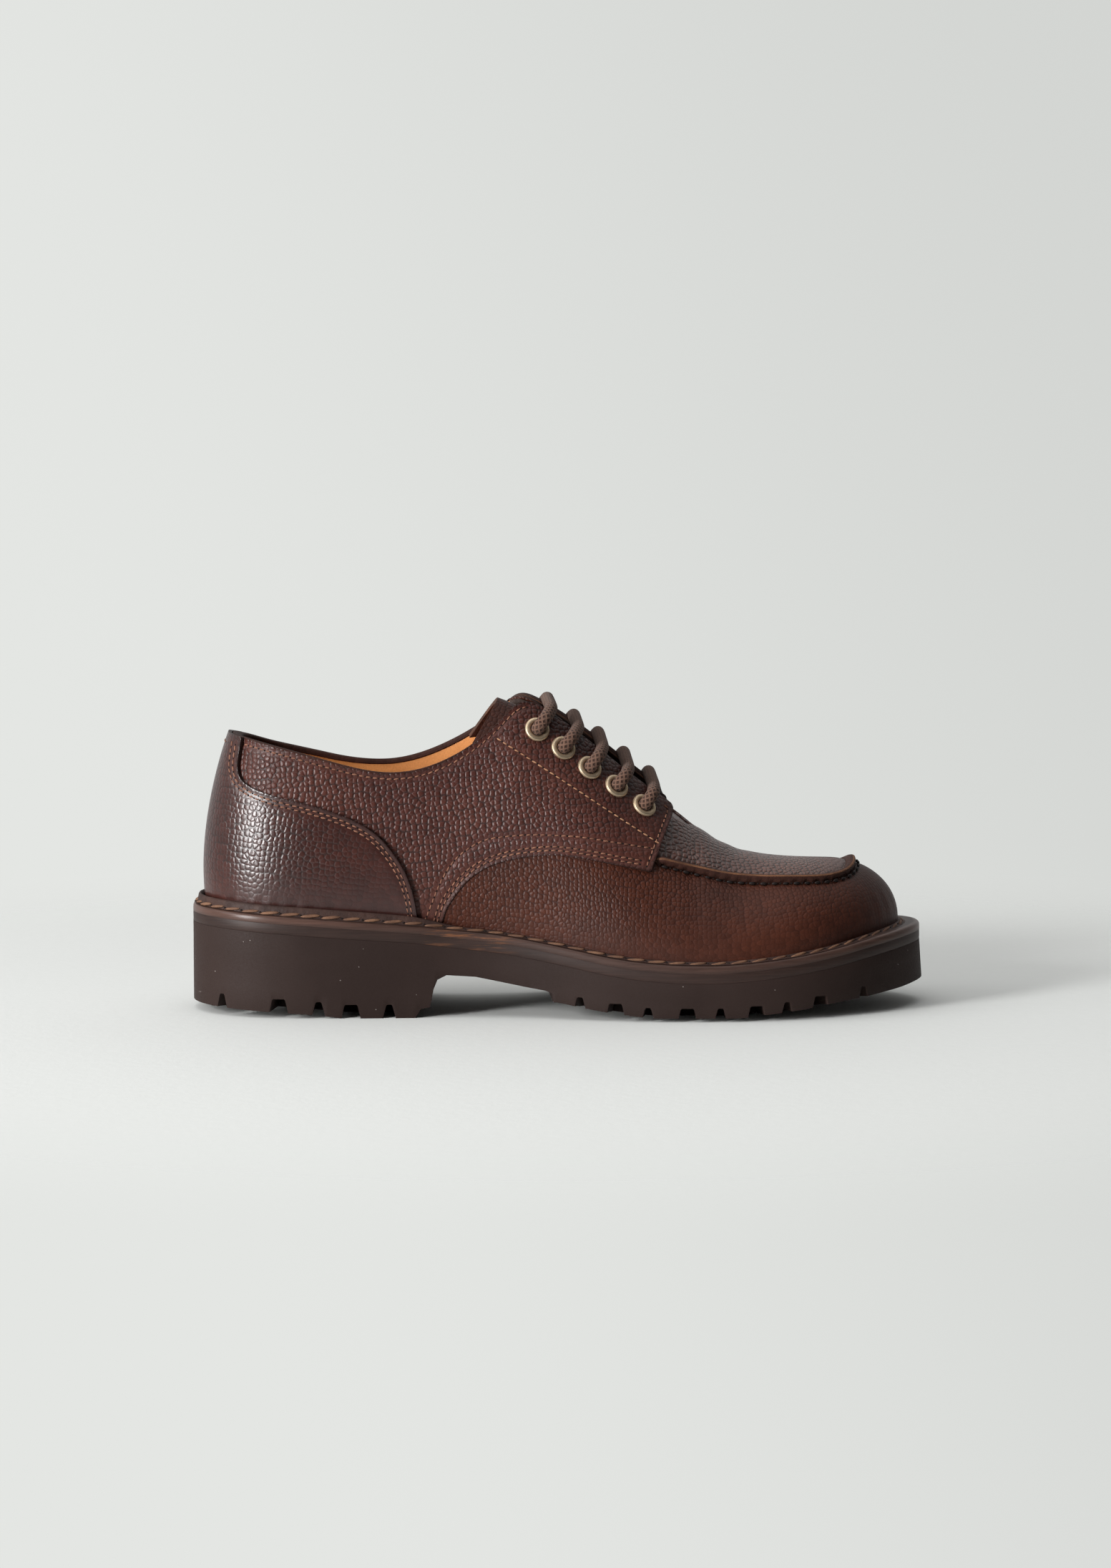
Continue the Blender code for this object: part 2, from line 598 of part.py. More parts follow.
def make_quarter(side, name, shoe, cutters, holes):
    """Side leather from the heel seam to the facing, arched over the vamp."""
    ribs = rib_places()[rib_places() <= CLOSED_RIB]
    ribs[0] = 0.03  # the two quarters meet in the heel seam
    rows = [[quarter_point(side, rib, t, 0.0) for t in overlay_steps(side, rib)] for rib in ribs]
    made = add_sheet(name, rows, OVERLAY, 1, shoe, "grain_leather")
    turn_outward(made, (100.0, 0.0, 60.0))
    corners = ((220.0, 130.0), (220.0, 20.0))
    trim(made, side_prism(f"{name}_cutter", QUARTER_ARCH + QUARTER_FRONT + corners, cutters), "DIFFERENCE")
    cut(made, holes)


def make_counter(shoe, cutters):
    """Heel leather laid over both quarters, with a narrow tab up to the collar."""
    over = 2 * LAYER_GAP + OVERLAY
    last_rib = 5.0
    ribs = rib_places()[rib_places() <= last_rib]
    places = [(-1, rib) for rib in ribs[:0:-1]] + [(1, rib) for rib in ribs]
    rows = [[LAST.offset(side, rib, t, over) for t in overlay_steps(side, rib)] for side, rib in places]
    made = add_sheet("counter", rows, OVERLAY, 1, shoe, "grain_leather")
    turn_outward(made, (60.0, 0.0, 60.0))
    corners = ((-20.0, 130.0), (-20.0, 20.0))
    trim(made, side_prism("counter_cutter", COUNTER_EDGE + corners, cutters), "INTERSECT")


def apron_path(round_steps):
    """(side, rib, t) along the apron seam, from one side of the vamp round the toe to the other."""
    start_x, round_x = APRON_SIDES[0][0], APRON_SIDES[-1][0]
    shift = steady_line(((start_x, 0.0), (APRON_FRONT_X, LAST.even["mid"](TOE_RIB))))
    halves = {}
    for side, column in ((-1, 1), (1, 2)):
        outline = [(row[0], row[column]) for row in APRON_SIDES]
        for angle in np.linspace(0, math.pi / 2, round_steps + 1)[1:]:
            along = math.sin(angle) ** (2 / APRON_POWER) * (APRON_FRONT_X - round_x)
            across = math.cos(angle) ** (2 / APRON_POWER) * APRON_SIDES[-1][column]
            outline.append((round_x + along, across))
        halves[side] = [
            (side, *LAST.locate(side, PLAN_VIEW, (x, shift(x) + side * half))) for x, half in outline
        ]
    return halves[-1] + halves[1][-2::-1]


def make_apron_seam(shoe):
    """Raised seam between the apron and the vamp."""
    path = apron_path(11)
    points = np.array([LAST.point(*place) for place in path])
    along = np.gradient(points, axis=0)
    rings = []
    for place, point, forward in zip(path, points, along):
        up = LAST.normal(*place)
        across = np.cross(forward, up)
        across /= np.linalg.norm(across)
        rings.append([point + across * w + up * h for w, h in SEAM_PROFILE])
    add_loft("apron_seam", rings, False, shoe, "grain_leather")


def make_tongue(shoe):
    """Arched sheet under the facings, from the throat to past the top eyelets."""
    lean = np.array([math.sin(TONGUE_SLOPE), 0.0, math.cos(TONGUE_SLOPE)])
    places = np.linspace(0, len(TONGUE_ROWS) - 1, 11)
    columns = [steady_line(list(enumerate(column))) for column in zip(*TONGUE_ROWS)]
    rows = []
    for place in places:
        x, z, half, drop = (column(place) for column in columns)
        middle = np.array([x, 0.0, z])
        shares = np.linspace(-1, 1, 9)
        rows.append([middle + np.array([0, half * w, 0]) - lean * drop * w * w for w in shares])
    made = add_sheet("tongue", rows, TONGUE, -1, shoe, "grain_leather")
    turn_outward(made, (140.0, 0.0, 40.0))


def eyelet_places():
    """(side, point on the quarter's face, direction out of it, rib) for each eyelet, top to throat."""
    places = []
    for side in (-1, 1):
        for x, setback in EYELETS:
            low, high = 6.0, 10.5
            for _ in range(40):
                rib = (low + high) / 2
                t = facing_t(side, rib, setback)
                low, high = (rib, high) if quarter_point(side, rib, t, OVERLAY)[0] < x else (low, rib)
            point = quarter_point(side, rib, t, OVERLAY)
            step = 1e-3
            along = quarter_point(side, rib + step, t, OVERLAY) - quarter_point(side, rib - step, t, OVERLAY)
            up = quarter_point(side, rib, t + step, OVERLAY) - quarter_point(side, rib, t - step, OVERLAY)
            out = np.cross(along, up) * (1 if side < 0 else -1)
            places.append((side, point, out / np.linalg.norm(out), rib))
    return places


def facing_t(side, rib, distance):
    """The t that lies a distance down the quarter from its facing edge."""
    steps = np.linspace(1, 0.3, 60)
    points = [quarter_point(side, rib, t, OVERLAY) for t in steps]
    run = np.cumsum([0.0] + [np.linalg.norm(b - a) for a, b in zip(points, points[1:])])
    return float(np.interp(distance, run, steps))


def cut_eyelet_holes(places, holes):
    """Drills through the quarter and the wall behind it."""
    length, outside = 30.0, 6.0
    for _, point, out, _ in places:
        bpy.ops.mesh.primitive_cylinder_add(
            vertices=10, radius=EYELET_HOLE * MM, depth=length * MM,
            location=to_metres(point - out * (length / 2 - outside)),
            rotation=Vector(out).to_track_quat("Z", "Y").to_euler(),
        )
        made = hide_cutter(bpy.context.object)
        made.name = "eyelet_cutter"
        for old in list(made.users_collection):
            old.objects.unlink(made)
        holes.objects.link(made)


def make_eyelets(places, shoe):
    """Turned rings: a domed flange on the facing and a barrel through it."""
    profile = (
        (EYELET_FLANGE, 0.0), (EYELET_BARREL, 0.0), (EYELET_BARREL, -OVERLAY), (EYELET_BORE, -OVERLAY),
        (EYELET_BORE, 0.9), (3.8, 1.2),
    )
    for number, (side, point, out, _) in enumerate(places):
        name = f"eyelet_{'lat' if side < 0 else 'med'}_{number % EYELET_COUNT + 1}"
        mesh = bpy.data.meshes.new(name)
        ring = [(radius * MM, 0.0, height * MM) for radius, height in profile]
        mesh.from_pydata(ring, [(i, (i + 1) % len(ring)) for i in range(len(ring))], [])
        mesh.materials.append(material("eyelet_brass"))
        made = bpy.data.objects.new(name, mesh)
        shoe.objects.link(made)
        turned = made.modifiers.new("turn", "SCREW")
        turned.steps = turned.render_steps = 10
        turned.use_merge_vertices = True
        turned.merge_threshold = 1e-6
        made.location = to_metres(point + out * CLEARANCE)
        made.rotation_euler = Vector(out).to_track_quat("Z", "Y").to_euler()


def lace_route(lateral, medial):
    """Points of one lace bar: out of an eyelet, over the facing edges and into the eyelet across."""
    ends = []
    for side, point, out, rib in (lateral, medial):
        edge = quarter_point(side, rib + LACE_LEAN, 1.0, OVERLAY)
        above = np.array([0.2, side * 0.3, 1.0]) * LACE_LIFT
        over = (edge - point) / np.linalg.norm(edge - point)
        route = [point + out * height + over * along for height, along in LACE_RISE]
        ends.append(route + [(point + edge) / 2 + out * LACE_CREST, edge + above])
    middle = (ends[0][-1] + ends[1][-1]) / 2 + np.array([0.0, 0.0, LACE_BOW])
    return ends[0] + [middle] + ends[1][::-1]


def smooth_route(points, count):
    """Evenly placed points on a smooth curve through a route."""
    points = np.array(points)
    run = np.concatenate([[0.0], np.cumsum(np.linalg.norm(np.diff(points, axis=0), axis=1))])
    axes = [steady_line(list(zip(run, column))) for column in points.T]
    return [np.array([axis(place) for axis in axes]) for place in np.linspace(0, run[-1], count)]


def make_lace_bars(places, shoe):
    for number in range(EYELET_COUNT):
        route = smooth_route(lace_route(places[number], places[number + EYELET_COUNT]), 13)
        curve = bpy.data.curves.new(f"lace_bar_{number + 1}", "CURVE")
        curve.dimensions = "3D"
        curve.bevel_depth = LACE_DIAMETER / 2 * MM
        curve.bevel_resolution = 2
        curve.use_fill_caps = True
        spline = curve.splines.new("POLY")
        spline.points.add(len(route) - 1)
        for at, point in zip(spline.points, route):
            at.co = (*to_metres(point), 1.0)
        curve.materials.append(material("lace_cotton"))
        shoe.objects.link(bpy.data.objects.new(curve.name, curve))


def main():
    for old in list(bpy.data.objects):
        bpy.data.objects.remove(old)
    shoe = new_collection("derby_shoe")
    tread_cutters = new_collection("tread_cutters", helper=True)
    holes = new_collection("eyelet_cutters", helper=True)
    outlines = new_collection("outline_cutters", helper=True)
    places = eyelet_places()
    cut_eyelet_holes(places, holes)
    reach = LAST.even["reach"]
    make_outsole(shoe, tread_cutters)
    make_plate("midsole", lambda rib: reach(rib) - 0.1, WELT + CLEARANCE, MIDSOLE, shoe, "welt_leather")
    make_welt(shoe)
    make_plate("insole", lambda rib: -UPPER_WALL - 0.6, CLEARANCE, INSOLE, shoe, "lining_leather")
    make_upper(shoe, holes)
    make_quarter(-1, "quarter_lateral", shoe, outlines, holes)
    make_quarter(1, "quarter_medial", shoe, outlines, holes)
    make_counter(shoe, outlines)
    make_apron_seam(shoe)
    make_tongue(shoe)
    make_eyelets(places, shoe)
    make_lace_bars(places, shoe)


main()
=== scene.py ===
import math

import bmesh
import bpy
import numpy as np
from mathutils import Euler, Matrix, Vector
from mathutils.kdtree import KDTree


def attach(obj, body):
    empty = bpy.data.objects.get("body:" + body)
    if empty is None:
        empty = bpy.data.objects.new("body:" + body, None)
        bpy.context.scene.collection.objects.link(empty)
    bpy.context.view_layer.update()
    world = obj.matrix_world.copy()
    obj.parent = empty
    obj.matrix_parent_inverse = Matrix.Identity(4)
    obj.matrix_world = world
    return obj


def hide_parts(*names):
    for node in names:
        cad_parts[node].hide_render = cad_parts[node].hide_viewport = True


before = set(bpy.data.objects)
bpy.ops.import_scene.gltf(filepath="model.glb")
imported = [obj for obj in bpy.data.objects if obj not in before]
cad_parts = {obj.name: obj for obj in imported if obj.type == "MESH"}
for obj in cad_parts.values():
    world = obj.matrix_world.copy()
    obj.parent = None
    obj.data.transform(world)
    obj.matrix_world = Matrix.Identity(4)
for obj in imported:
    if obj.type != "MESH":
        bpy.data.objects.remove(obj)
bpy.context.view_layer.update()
print("frame loaded:", len(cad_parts), "nodes")

mm = 0.001

# The last, in millimetres: x from the back of the sole, y from the heel's middle with the little-toe side
# negative, z from the floor. A place on it is (s, t): s is the rib, negative on the little-toe side, from 0 at
# the heel's middle to 15 at the toe, and t runs from 0 on the foot line to 1 at the top.
last = {
    "middle": (141.345, -2.952, 0.0),  # where the model's origin lies
    "toeRib": 15, "wall": 2.0, "overlay": 1.4, "layerGap": 0.4, "clearance": 0.3, "footGap": 1.3,
    "welt": 3.2, "midsole": 3.2, "insole": 2.8,
    "seat": (
        (0, 40.8), (30, 39.3), (60, 37.2), (85, 35.4), (100, 33.6), (116, 31.8), (132, 29.2), (146, 26.5),
        (158, 24.2), (171, 22.5), (184, 21.7), (196, 21.5), (210, 22.2), (227, 23.9), (242, 26.0), (256, 28.5),
        (268, 30.3), (282, 31.6),
    ),
}
ribNames = (
    "latX", "latY", "medX", "medY", "reach", "layers", "lip",
    "topX", "mid", "gap", "topZ", "dip", "out", "rise", "lean", "crest", "stand",
)
ribRows = (
    (9.5, 0.0, 9.5, 0.0, 9.3, 3.6, 3.6, 17.5, 0.0, 0.0, 105.4, 0.0, 4.5, 0.28, 0.06, 0.69, 0.0),
    (14.0, -14.3, 14.0, 13.9, 9.2, 3.6, 3.6, 20.5, 0.0, 12.8, 105.0, 0.7, 4.5, 0.28, 0.08, 0.69, 0.0),
    (28.5, -24.5, 28.5, 23.8, 8.9, 3.6, 3.6, 33.5, 0.0, 22.8, 102.0, 2.1, 4.5, 0.28, 0.10, 0.69, 0.0),
    (52.0, -27.8, 52.0, 26.0, 8.5, 3.6, 3.6, 52.5, 0.0, 25.8, 96.8, 1.4, 4.0, 0.28, 0.10, 0.70, 0.0),
    (80.0, -28.3, 80.0, 23.6, 8.2, 3.6, 3.2, 75.0, 0.0, 26.3, 92.4, -0.4, 3.5, 0.30, 0.05, 0.70, 0.0),
    (104.0, -29.6, 104.0, 21.6, 7.2, 1.8, 1.0, 98.0, 0.0, 24.6, 97.6, -1.5, 3.5, 0.30, 0.10, 0.70, 0.0),
    (121.0, -32.6, 121.5, 23.0, 6.4, 0.0, 1.0, 118.0, 0.0, 19.0, 111.2, -1.0, 3.5, 0.30, 0.25, 0.75, 0.5),
    (137.0, -36.8, 138.5, 27.5, 6.2, 0.0, 1.0, 131.0, 0.0, 12.5, 115.2, -1.6, 3.8, 0.30, 0.38, 0.78, 1.6),
    (160.0, -43.2, 163.5, 35.5, 6.0, 0.0, 1.0, 159.5, 0.0, 10.0, 90.8, -3.4, 4.6, 0.36, 0.45, 0.82, 4.0),
    (181.5, -46.8, 187.0, 40.5, 6.0, 0.0, 1.0, 184.5, 0.0, 9.2, 72.2, -2.0, 4.6, 0.37, 0.55, 0.83, 5.0),
    (193.0, -47.5, 199.0, 41.6, 6.0, 0.0, 1.0, 194.0, 0.0, 0.0, 67.2, 0.0, 5.0, 0.43, 0.66, 1.0, 6.0),
    (208.0, -47.3, 213.0, 41.5, 6.0, 0.0, 1.0, 206.5, 0.4, 0.0, 59.9, 0.0, 5.0, 0.47, 0.61, 1.0, 0.0),
    (229.0, -43.2, 233.0, 38.6, 6.3, 0.0, 1.0, 223.0, 1.0, 0.0, 55.8, 0.0, 4.5, 0.51, 0.38, 1.0, 0.0),
    (248.7, -32.5, 251.7, 30.5, 7.5, 0.0, 1.0, 235.0, 1.6, 0.0, 55.0, 0.0, 4.3, 0.55, 0.37, 1.0, 0.0),
    (263.7, -16.6, 264.9, 19.5, 9.0, 0.0, 1.0, 241.5, 2.1, 0.0, 54.9, 0.0, 3.8, 0.56, 0.35, 1.0, 0.0),
    (271.3, 2.5, 271.3, 2.5, 10.2, 0.0, 1.0, 244.3, 2.5, 0.0, 54.9, 0.0, 3.4, 0.56, 0.33, 1.0, 0.0),
)
tiny = 1e-3
sideView, planView = [0, 2], [0, 1]


def loopCurve(values):  # smooth closed curve through one value for each whole step
    values = np.asarray(values, float)
    count = len(values)
    nextOne = np.roll(np.eye(count), 1, axis=1)
    bend = np.roll(values, -1) - 2 * values + np.roll(values, 1)
    bends = np.linalg.solve(4 * np.eye(count) + nextOne + nextOne.T, 6 * bend)

    def at(where):
        whole = np.floor(where)
        first = whole.astype(int) % count
        second = (first + 1) % count
        t = where - whole
        curve = (bends[first] * (1 - t) ** 3 + bends[second] * t**3) / 6
        ends = (values[first] - bends[first] / 6) * (1 - t) + (values[second] - bends[second] / 6) * t
        return curve + ends

    return at


def steadyCurve(points, startSlope=0.0):  # smooth curve through (place, value) points, with no overshoot
    places, values = (np.array(column, float) for column in zip(*points))
    steps = np.diff(places)
    slopes = np.diff(values) / steps
    product = slopes[:-1] * slopes[1:]
    bothWays = np.where(product > 0, slopes[:-1] + slopes[1:], 1.0)
    tangents = np.zeros(len(values))
    tangents[0] = startSlope
    tangents[1:-1] = np.where(product > 0, 2 * product / bothWays, 0.0)

    def at(place):
        place = np.clip(place, places[0], places[-1])
        i = np.clip(np.searchsorted(places, place) - 1, 0, len(steps) - 1)
        t = (place - places[i]) / steps[i]
        begin = (1 + 2 * t) * (1 - t) ** 2 * values[i] + t * (1 - t) ** 2 * steps[i] * tangents[i]
        end = t * t * (3 - 2 * t) * values[i + 1] + t * t * (t - 1) * steps[i] * tangents[i + 1]
        return begin + end

    return at


def smoothStep(low, high, value):
    t = np.clip((value - low) / (high - low), 0.0, 1.0)
    return t * t * (3 - 2 * t)


def ribColumn(name):
    return [row[ribNames.index(name)] for row in ribRows]


wayBack = slice(last["toeRib"] - 1, 0, -1)  # ribs of the big-toe side, from the toe to the heel
footX = loopCurve(ribColumn("latX") + ribColumn("medX")[wayBack])
footY = loopCurve(ribColumn("latY") + ribColumn("medY")[wayBack])
along = {
    name: loopCurve(ribColumn(name) + ribColumn(name)[wayBack])
    for name in ("reach", "topX", "mid", "topZ", "out", "rise", "lean", "crest")
}
for name in ("dip", "layers", "lip", "stand"):
    along[name] = steadyCurve(list(enumerate(ribColumn(name))))
along["gap"] = steadyCurve(list(enumerate(ribColumn("gap"))), startSlope=19.0)
seatLine = steadyCurve(last["seat"])


def loopOf(s):
    return np.where(s < 0, -s, 2 * last["toeRib"] - s)


def ribsRound(count):  # s at even steps round the shoe, from the heel along the little-toe side
    loop = np.linspace(0, 2 * last["toeRib"], count, endpoint=False)
    s = np.where(loop < last["toeRib"], -loop, 2 * last["toeRib"] - loop)
    s[0] = -1e-9  # the heel's middle counts as little-toe side
    return s


def footLine(s):  # (point in plan, direction away from the foot)
    loop = loopOf(np.asarray(s, float))
    foot = np.stack([footX(loop), footY(loop)], -1)
    ahead = np.stack([footX(loop + tiny) - footX(loop - tiny), footY(loop + tiny) - footY(loop - tiny)], -1)
    away = np.stack([ahead[..., 1], -ahead[..., 0]], -1)
    return foot, away / np.linalg.norm(away, axis=-1, keepdims=True)


def edgePoint(s, distance):  # plan point at a distance outside the foot line
    foot, away = footLine(s)
    return foot + away * np.asarray(distance, float)[..., None]


def lastPoint(s, t):
    s, t = np.broadcast_arrays(np.asarray(s, float), np.asarray(t, float))
    side, rib = np.where(s < 0, -1.0, 1.0), np.abs(s)
    foot, away = footLine(s)
    base = np.concatenate([foot, (seatLine(foot[..., 0]) - last["welt"])[..., None]], -1)
    topZ = along["topZ"](rib) - np.where(side > 0, along["dip"](rib), 0.0)
    top = np.stack([along["topX"](rib), along["mid"](rib) + side * along["gap"](rib), topZ], -1)
    rise = topZ - base[..., 2]
    low = np.concatenate([foot + away * along["out"](rib)[..., None], base[..., 2:]], -1)
    low[..., 2] += rise * along["rise"](rib)
    high = base + (top - base) * along["lean"](rib)[..., None]
    high[..., 2] = base[..., 2] + rise * along["crest"](rib)
    t = t[..., None]
    u = 1 - t
    return u**3 * base + 3 * u * u * t * low + 3 * u * t * t * high + t**3 * top


def surfaceNormal(surface, s, t):  # unit direction out of the wall
    s, t = np.broadcast_arrays(np.asarray(s, float), np.asarray(t, float))
    forward = surface(s - tiny, t) - surface(s + tiny, t)
    up = surface(s, np.minimum(t + tiny, 1.0)) - surface(s, np.minimum(t + tiny, 1.0) - 2 * tiny)
    out = np.cross(forward, up)
    return out / np.maximum(np.linalg.norm(out, axis=-1, keepdims=True), 1e-12)


def wallPoint(s, t, lift=0.0):  # the last, moved out
    return lastPoint(s, t) + surfaceNormal(lastPoint, s, t) * np.asarray(lift, float)[..., None]


def quarterPoint(s, t, lift=0.0):  # the quarter, which stands off the vamp towards its facing edge
    stand = along["stand"](np.abs(s)) * smoothStep(0.35, 1.0, np.asarray(t, float))
    return wallPoint(s, t, last["layerGap"] + stand + lift)


def counterPoint(s, t, lift=0.0):  # the counter, laid over the quarters
    return wallPoint(s, t, 2 * last["layerGap"] + last["overlay"] + lift)


def placeOn(surface, side, goals, axes=sideView):  # (s, t) of points given in the side view or in plan
    goals = np.asarray(goals, float)
    ribs, heights = np.meshgrid(np.linspace(0.15, 14.8, 90), np.linspace(0.03, 1.0, 34))
    s, t = side * ribs.ravel(), heights.ravel()
    cloud = surface(s, t)[:, axes]
    nearest = [np.abs(cloud - goal).sum(1).argmin() for goal in goals]
    s, t = s[nearest], t[nearest]
    step = 1e-4
    for _ in range(16):
        here = surface(s, t)[:, axes]
        byS = (surface(s + step, t)[:, axes] - here) / step
        byT = (surface(s, t + step)[:, axes] - here) / step
        miss = goals - here
        area = byS[:, 0] * byT[:, 1] - byS[:, 1] * byT[:, 0]
        moveS = (miss[:, 0] * byT[:, 1] - miss[:, 1] * byT[:, 0]) / area
        moveT = (byS[:, 0] * miss[:, 1] - byS[:, 1] * miss[:, 0]) / area
        s = side * np.clip(side * s + np.clip(side * moveS, -0.4, 0.4), 0.0, 15.0)
        t = np.clip(t + np.clip(moveT, -0.1, 0.1), 0.0, 1.0)
    return np.stack([s, t], -1)


def runOf(points):  # distance along a line of points
    return np.concatenate([[0.0], np.cumsum(np.linalg.norm(np.diff(points, axis=0), axis=1))])


def nearestOn(path, points):  # distance to the closest point of a path, and that point's number
    tree = KDTree(len(path))
    for i, point in enumerate(path):
        tree.insert(point, i)
    tree.balance()
    found = [tree.find(point) for point in points]
    return np.array([f[2] for f in found]), np.array([f[1] for f in found])


def smoothLine(points, count):  # evenly placed points on a smooth curve through a few
    points = np.asarray(points, float)
    run = runOf(points)
    axes = [steadyCurve(list(zip(run, axis)), (axis[1] - axis[0]) / run[1]) for axis in points.T]
    fine = np.stack([axis(np.linspace(0, run[-1], 20 * count)) for axis in axes], -1)
    fineRun = runOf(fine)
    places = np.linspace(0, fineRun[-1], count)
    return np.stack([np.interp(places, fineRun, axis) for axis in fine.T], -1)


def shiftLine(points, distance):  # a side-view line moved to its left
    points = np.asarray(points, float)
    ahead = np.gradient(points, axis=0)
    ahead /= np.linalg.norm(ahead, axis=1, keepdims=True)
    return points + np.stack([-ahead[:, 1], ahead[:, 0]], -1) * distance


def footT(s, height):  # t at which a rib stands a height above the welt
    s = np.asarray(s, float)
    goal = seatLine(footLine(s)[0][..., 0]) + height
    low, high = np.zeros_like(s), np.ones_like(s)
    for _ in range(30):
        middle = (low + high) / 2
        under = lastPoint(s, middle)[..., 2] < goal
        low, high = np.where(under, middle, low), np.where(under, high, middle)
    return (low + high) / 2


def toWorld(points):
    return (np.asarray(points, float) - np.array(last["middle"])) * mm


# Meshes


def gridFaces(rows, columns, roundRows=False, roundColumns=False):
    r = np.arange(rows if roundRows else rows - 1)[:, None]
    c = np.arange(columns if roundColumns else columns - 1)[None, :]
    nextRow, nextColumn = (r + 1) % rows, (c + 1) % columns
    places = ((r, c), (r, nextColumn), (nextRow, nextColumn), (nextRow, c))
    corners = np.broadcast_arrays(*(row * columns + column for row, column in places))
    return np.stack(corners, -1).reshape(-1, 4).tolist()


def tubeFaces(count, width):  # rings of equal length joined to a tube, with both ends closed
    ends = [list(range(width)), list(range((count - 1) * width, count * width))]
    return gridFaces(count, width, roundColumns=True) + ends


def addObject(name, data):
    made = bpy.data.objects.new(name, data)
    bpy.context.scene.collection.objects.link(made)
    return made


def addPiece(name, points, faces, materials, sharp=None):
    mesh = bpy.data.meshes.new(name)
    mesh.from_pydata(toWorld(np.asarray(points, float).reshape(-1, 3)).tolist(), [], faces)
    for finish in materials:
        mesh.materials.append(finish)
    mesh.shade_smooth()
    if sharp:
        mesh.set_sharp_from_angle(angle=math.radians(sharp))
    return addObject(name, mesh)


def weld(piece, distance):  # merges doubled points and drops faces without area
    work = bmesh.new()
    work.from_mesh(piece.data)
    bmesh.ops.remove_doubles(work, verts=work.verts, dist=distance * mm)
    bmesh.ops.dissolve_degenerate(work, edges=work.edges, dist=distance * mm)
    work.to_mesh(piece.data)
    work.free()


def turnFaces(piece):  # closed shells: all faces outwards
    work = bmesh.new()
    work.from_mesh(piece.data)
    bmesh.ops.recalc_face_normals(work, faces=work.faces)
    work.to_mesh(piece.data)
    work.free()


def faceUp(piece):  # an open sheet: its faces look up
    if sum(face.normal.z for face in piece.data.polygons) < 0:
        piece.data.flip_normals()


def faceRound(piece, outwards):  # a wall round the shoe: its faces look away from the middle, or towards it
    middle = Vector((0, 0, 0.05))
    away = sum(face.normal.dot(face.center - middle) for face in piece.data.polygons) > 0
    if away != outwards:
        piece.data.flip_normals()


def settle(piece):  # modifiers become plain mesh
    graph = bpy.context.evaluated_depsgraph_get()
    shown = piece.evaluated_get(graph)
    made = bpy.data.meshes.new_from_object(shown, preserve_all_data_layers=True, depsgraph=graph)
    piece.modifiers.clear()
    piece.data = made
    return piece


def thicken(piece, thickness, rim=0):  # behind its faces
    solid = piece.modifiers.new("solid", "SOLIDIFY")
    solid.thickness = thickness * mm
    solid.offset = -1.0
    solid.material_offset_rim = rim


def roundEdges(piece, width, angle=45, segments=2):
    soft = piece.modifiers.new("soft", "BEVEL")
    soft.width = width * mm
    soft.segments = segments
    soft.limit_method = "ANGLE"
    soft.angle_limit = math.radians(angle)
    soft.harden_normals = False


def drill(piece, cutter):
    hole = piece.modifiers.new("drill", "BOOLEAN")
    hole.operation, hole.solver = "DIFFERENCE", "EXACT"
    hole.object = cutter


def setAttribute(piece, name, values, kind="FLOAT"):
    attribute = piece.data.attributes.new(name, kind, "POINT")
    field = "value" if kind == "FLOAT" else "vector"
    attribute.data.foreach_set(field, np.asarray(values, np.float32).ravel())


def setGrain(piece, grain, dark):  # how strong the pebbles are and how dark the leather is, point by point
    for name, share in (("grain", grain), ("dark", dark)):
        setAttribute(piece, name, np.broadcast_to(share, len(piece.data.vertices)))


def layFlat(piece):  # the leather's flat cut, in millimetres, as a UV map
    bpy.context.view_layer.objects.active = piece
    piece.select_set(True)
    piece.data.uv_layers.new(name="cut")
    bpy.ops.object.mode_set(mode="EDIT")
    bpy.ops.mesh.select_all(action="SELECT")
    bpy.ops.uv.unwrap(method="ANGLE_BASED", margin=0.0)
    bpy.ops.object.mode_set(mode="OBJECT")
    piece.select_set(False)
    mesh = piece.data
    flat = np.zeros(len(mesh.loops) * 2)
    mesh.uv_layers["cut"].data.foreach_get("uv", flat)
    flat = flat.reshape(-1, 2)
    flatArea = 0.0
    for face in mesh.polygons:
        corners = flat[face.loop_start:face.loop_start + face.loop_total]
        after = np.roll(corners, -1, axis=0)
        flatArea += abs(np.sum(corners[:, 0] * after[:, 1] - corners[:, 1] * after[:, 0])) / 2
    realArea = sum(face.area for face in mesh.polygons) / mm**2
    mesh.uv_layers["cut"].data.foreach_set("uv", (flat * math.sqrt(realArea / flatArea)).ravel())


def layStrip(piece, run, width, pace):  # flat cut of a strip: along its run, and a pace for each point across
    mesh = piece.data
    flat = mesh.uv_layers.new(name="cut").data
    for corner in mesh.loops:
        at, step = divmod(corner.vertex_index, width)
        flat[corner.index].uv = (run[at], step * pace)


def finishPiece(piece, slot, *nodes):
    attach(piece, "root")
    if nodes:
        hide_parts(*nodes)
    return piece


# Shader building


def feed(tree, socket, source):  # by a link, or with a plain value
    if isinstance(source, bpy.types.NodeSocket):
        tree.links.new(source, socket)
    elif socket.type == "RGBA" and len(source) == 3:
        socket.default_value = (*source, 1.0)
    else:
        socket.default_value = source


def addNode(tree, kind, inputs=None, **settings):
    node = tree.nodes.new(kind)
    for key, value in settings.items():
        setattr(node, key, value)
    for socket, source in (inputs or {}).items():
        feed(tree, node.inputs[socket], source)
    return node


def mathNode(tree, operation, *values):
    return addNode(tree, "ShaderNodeMath", dict(enumerate(values)), operation=operation).outputs[0]


def vectorNode(tree, operation, *values, out=0):
    return addNode(tree, "ShaderNodeVectorMath", dict(enumerate(values)), operation=operation).outputs[out]


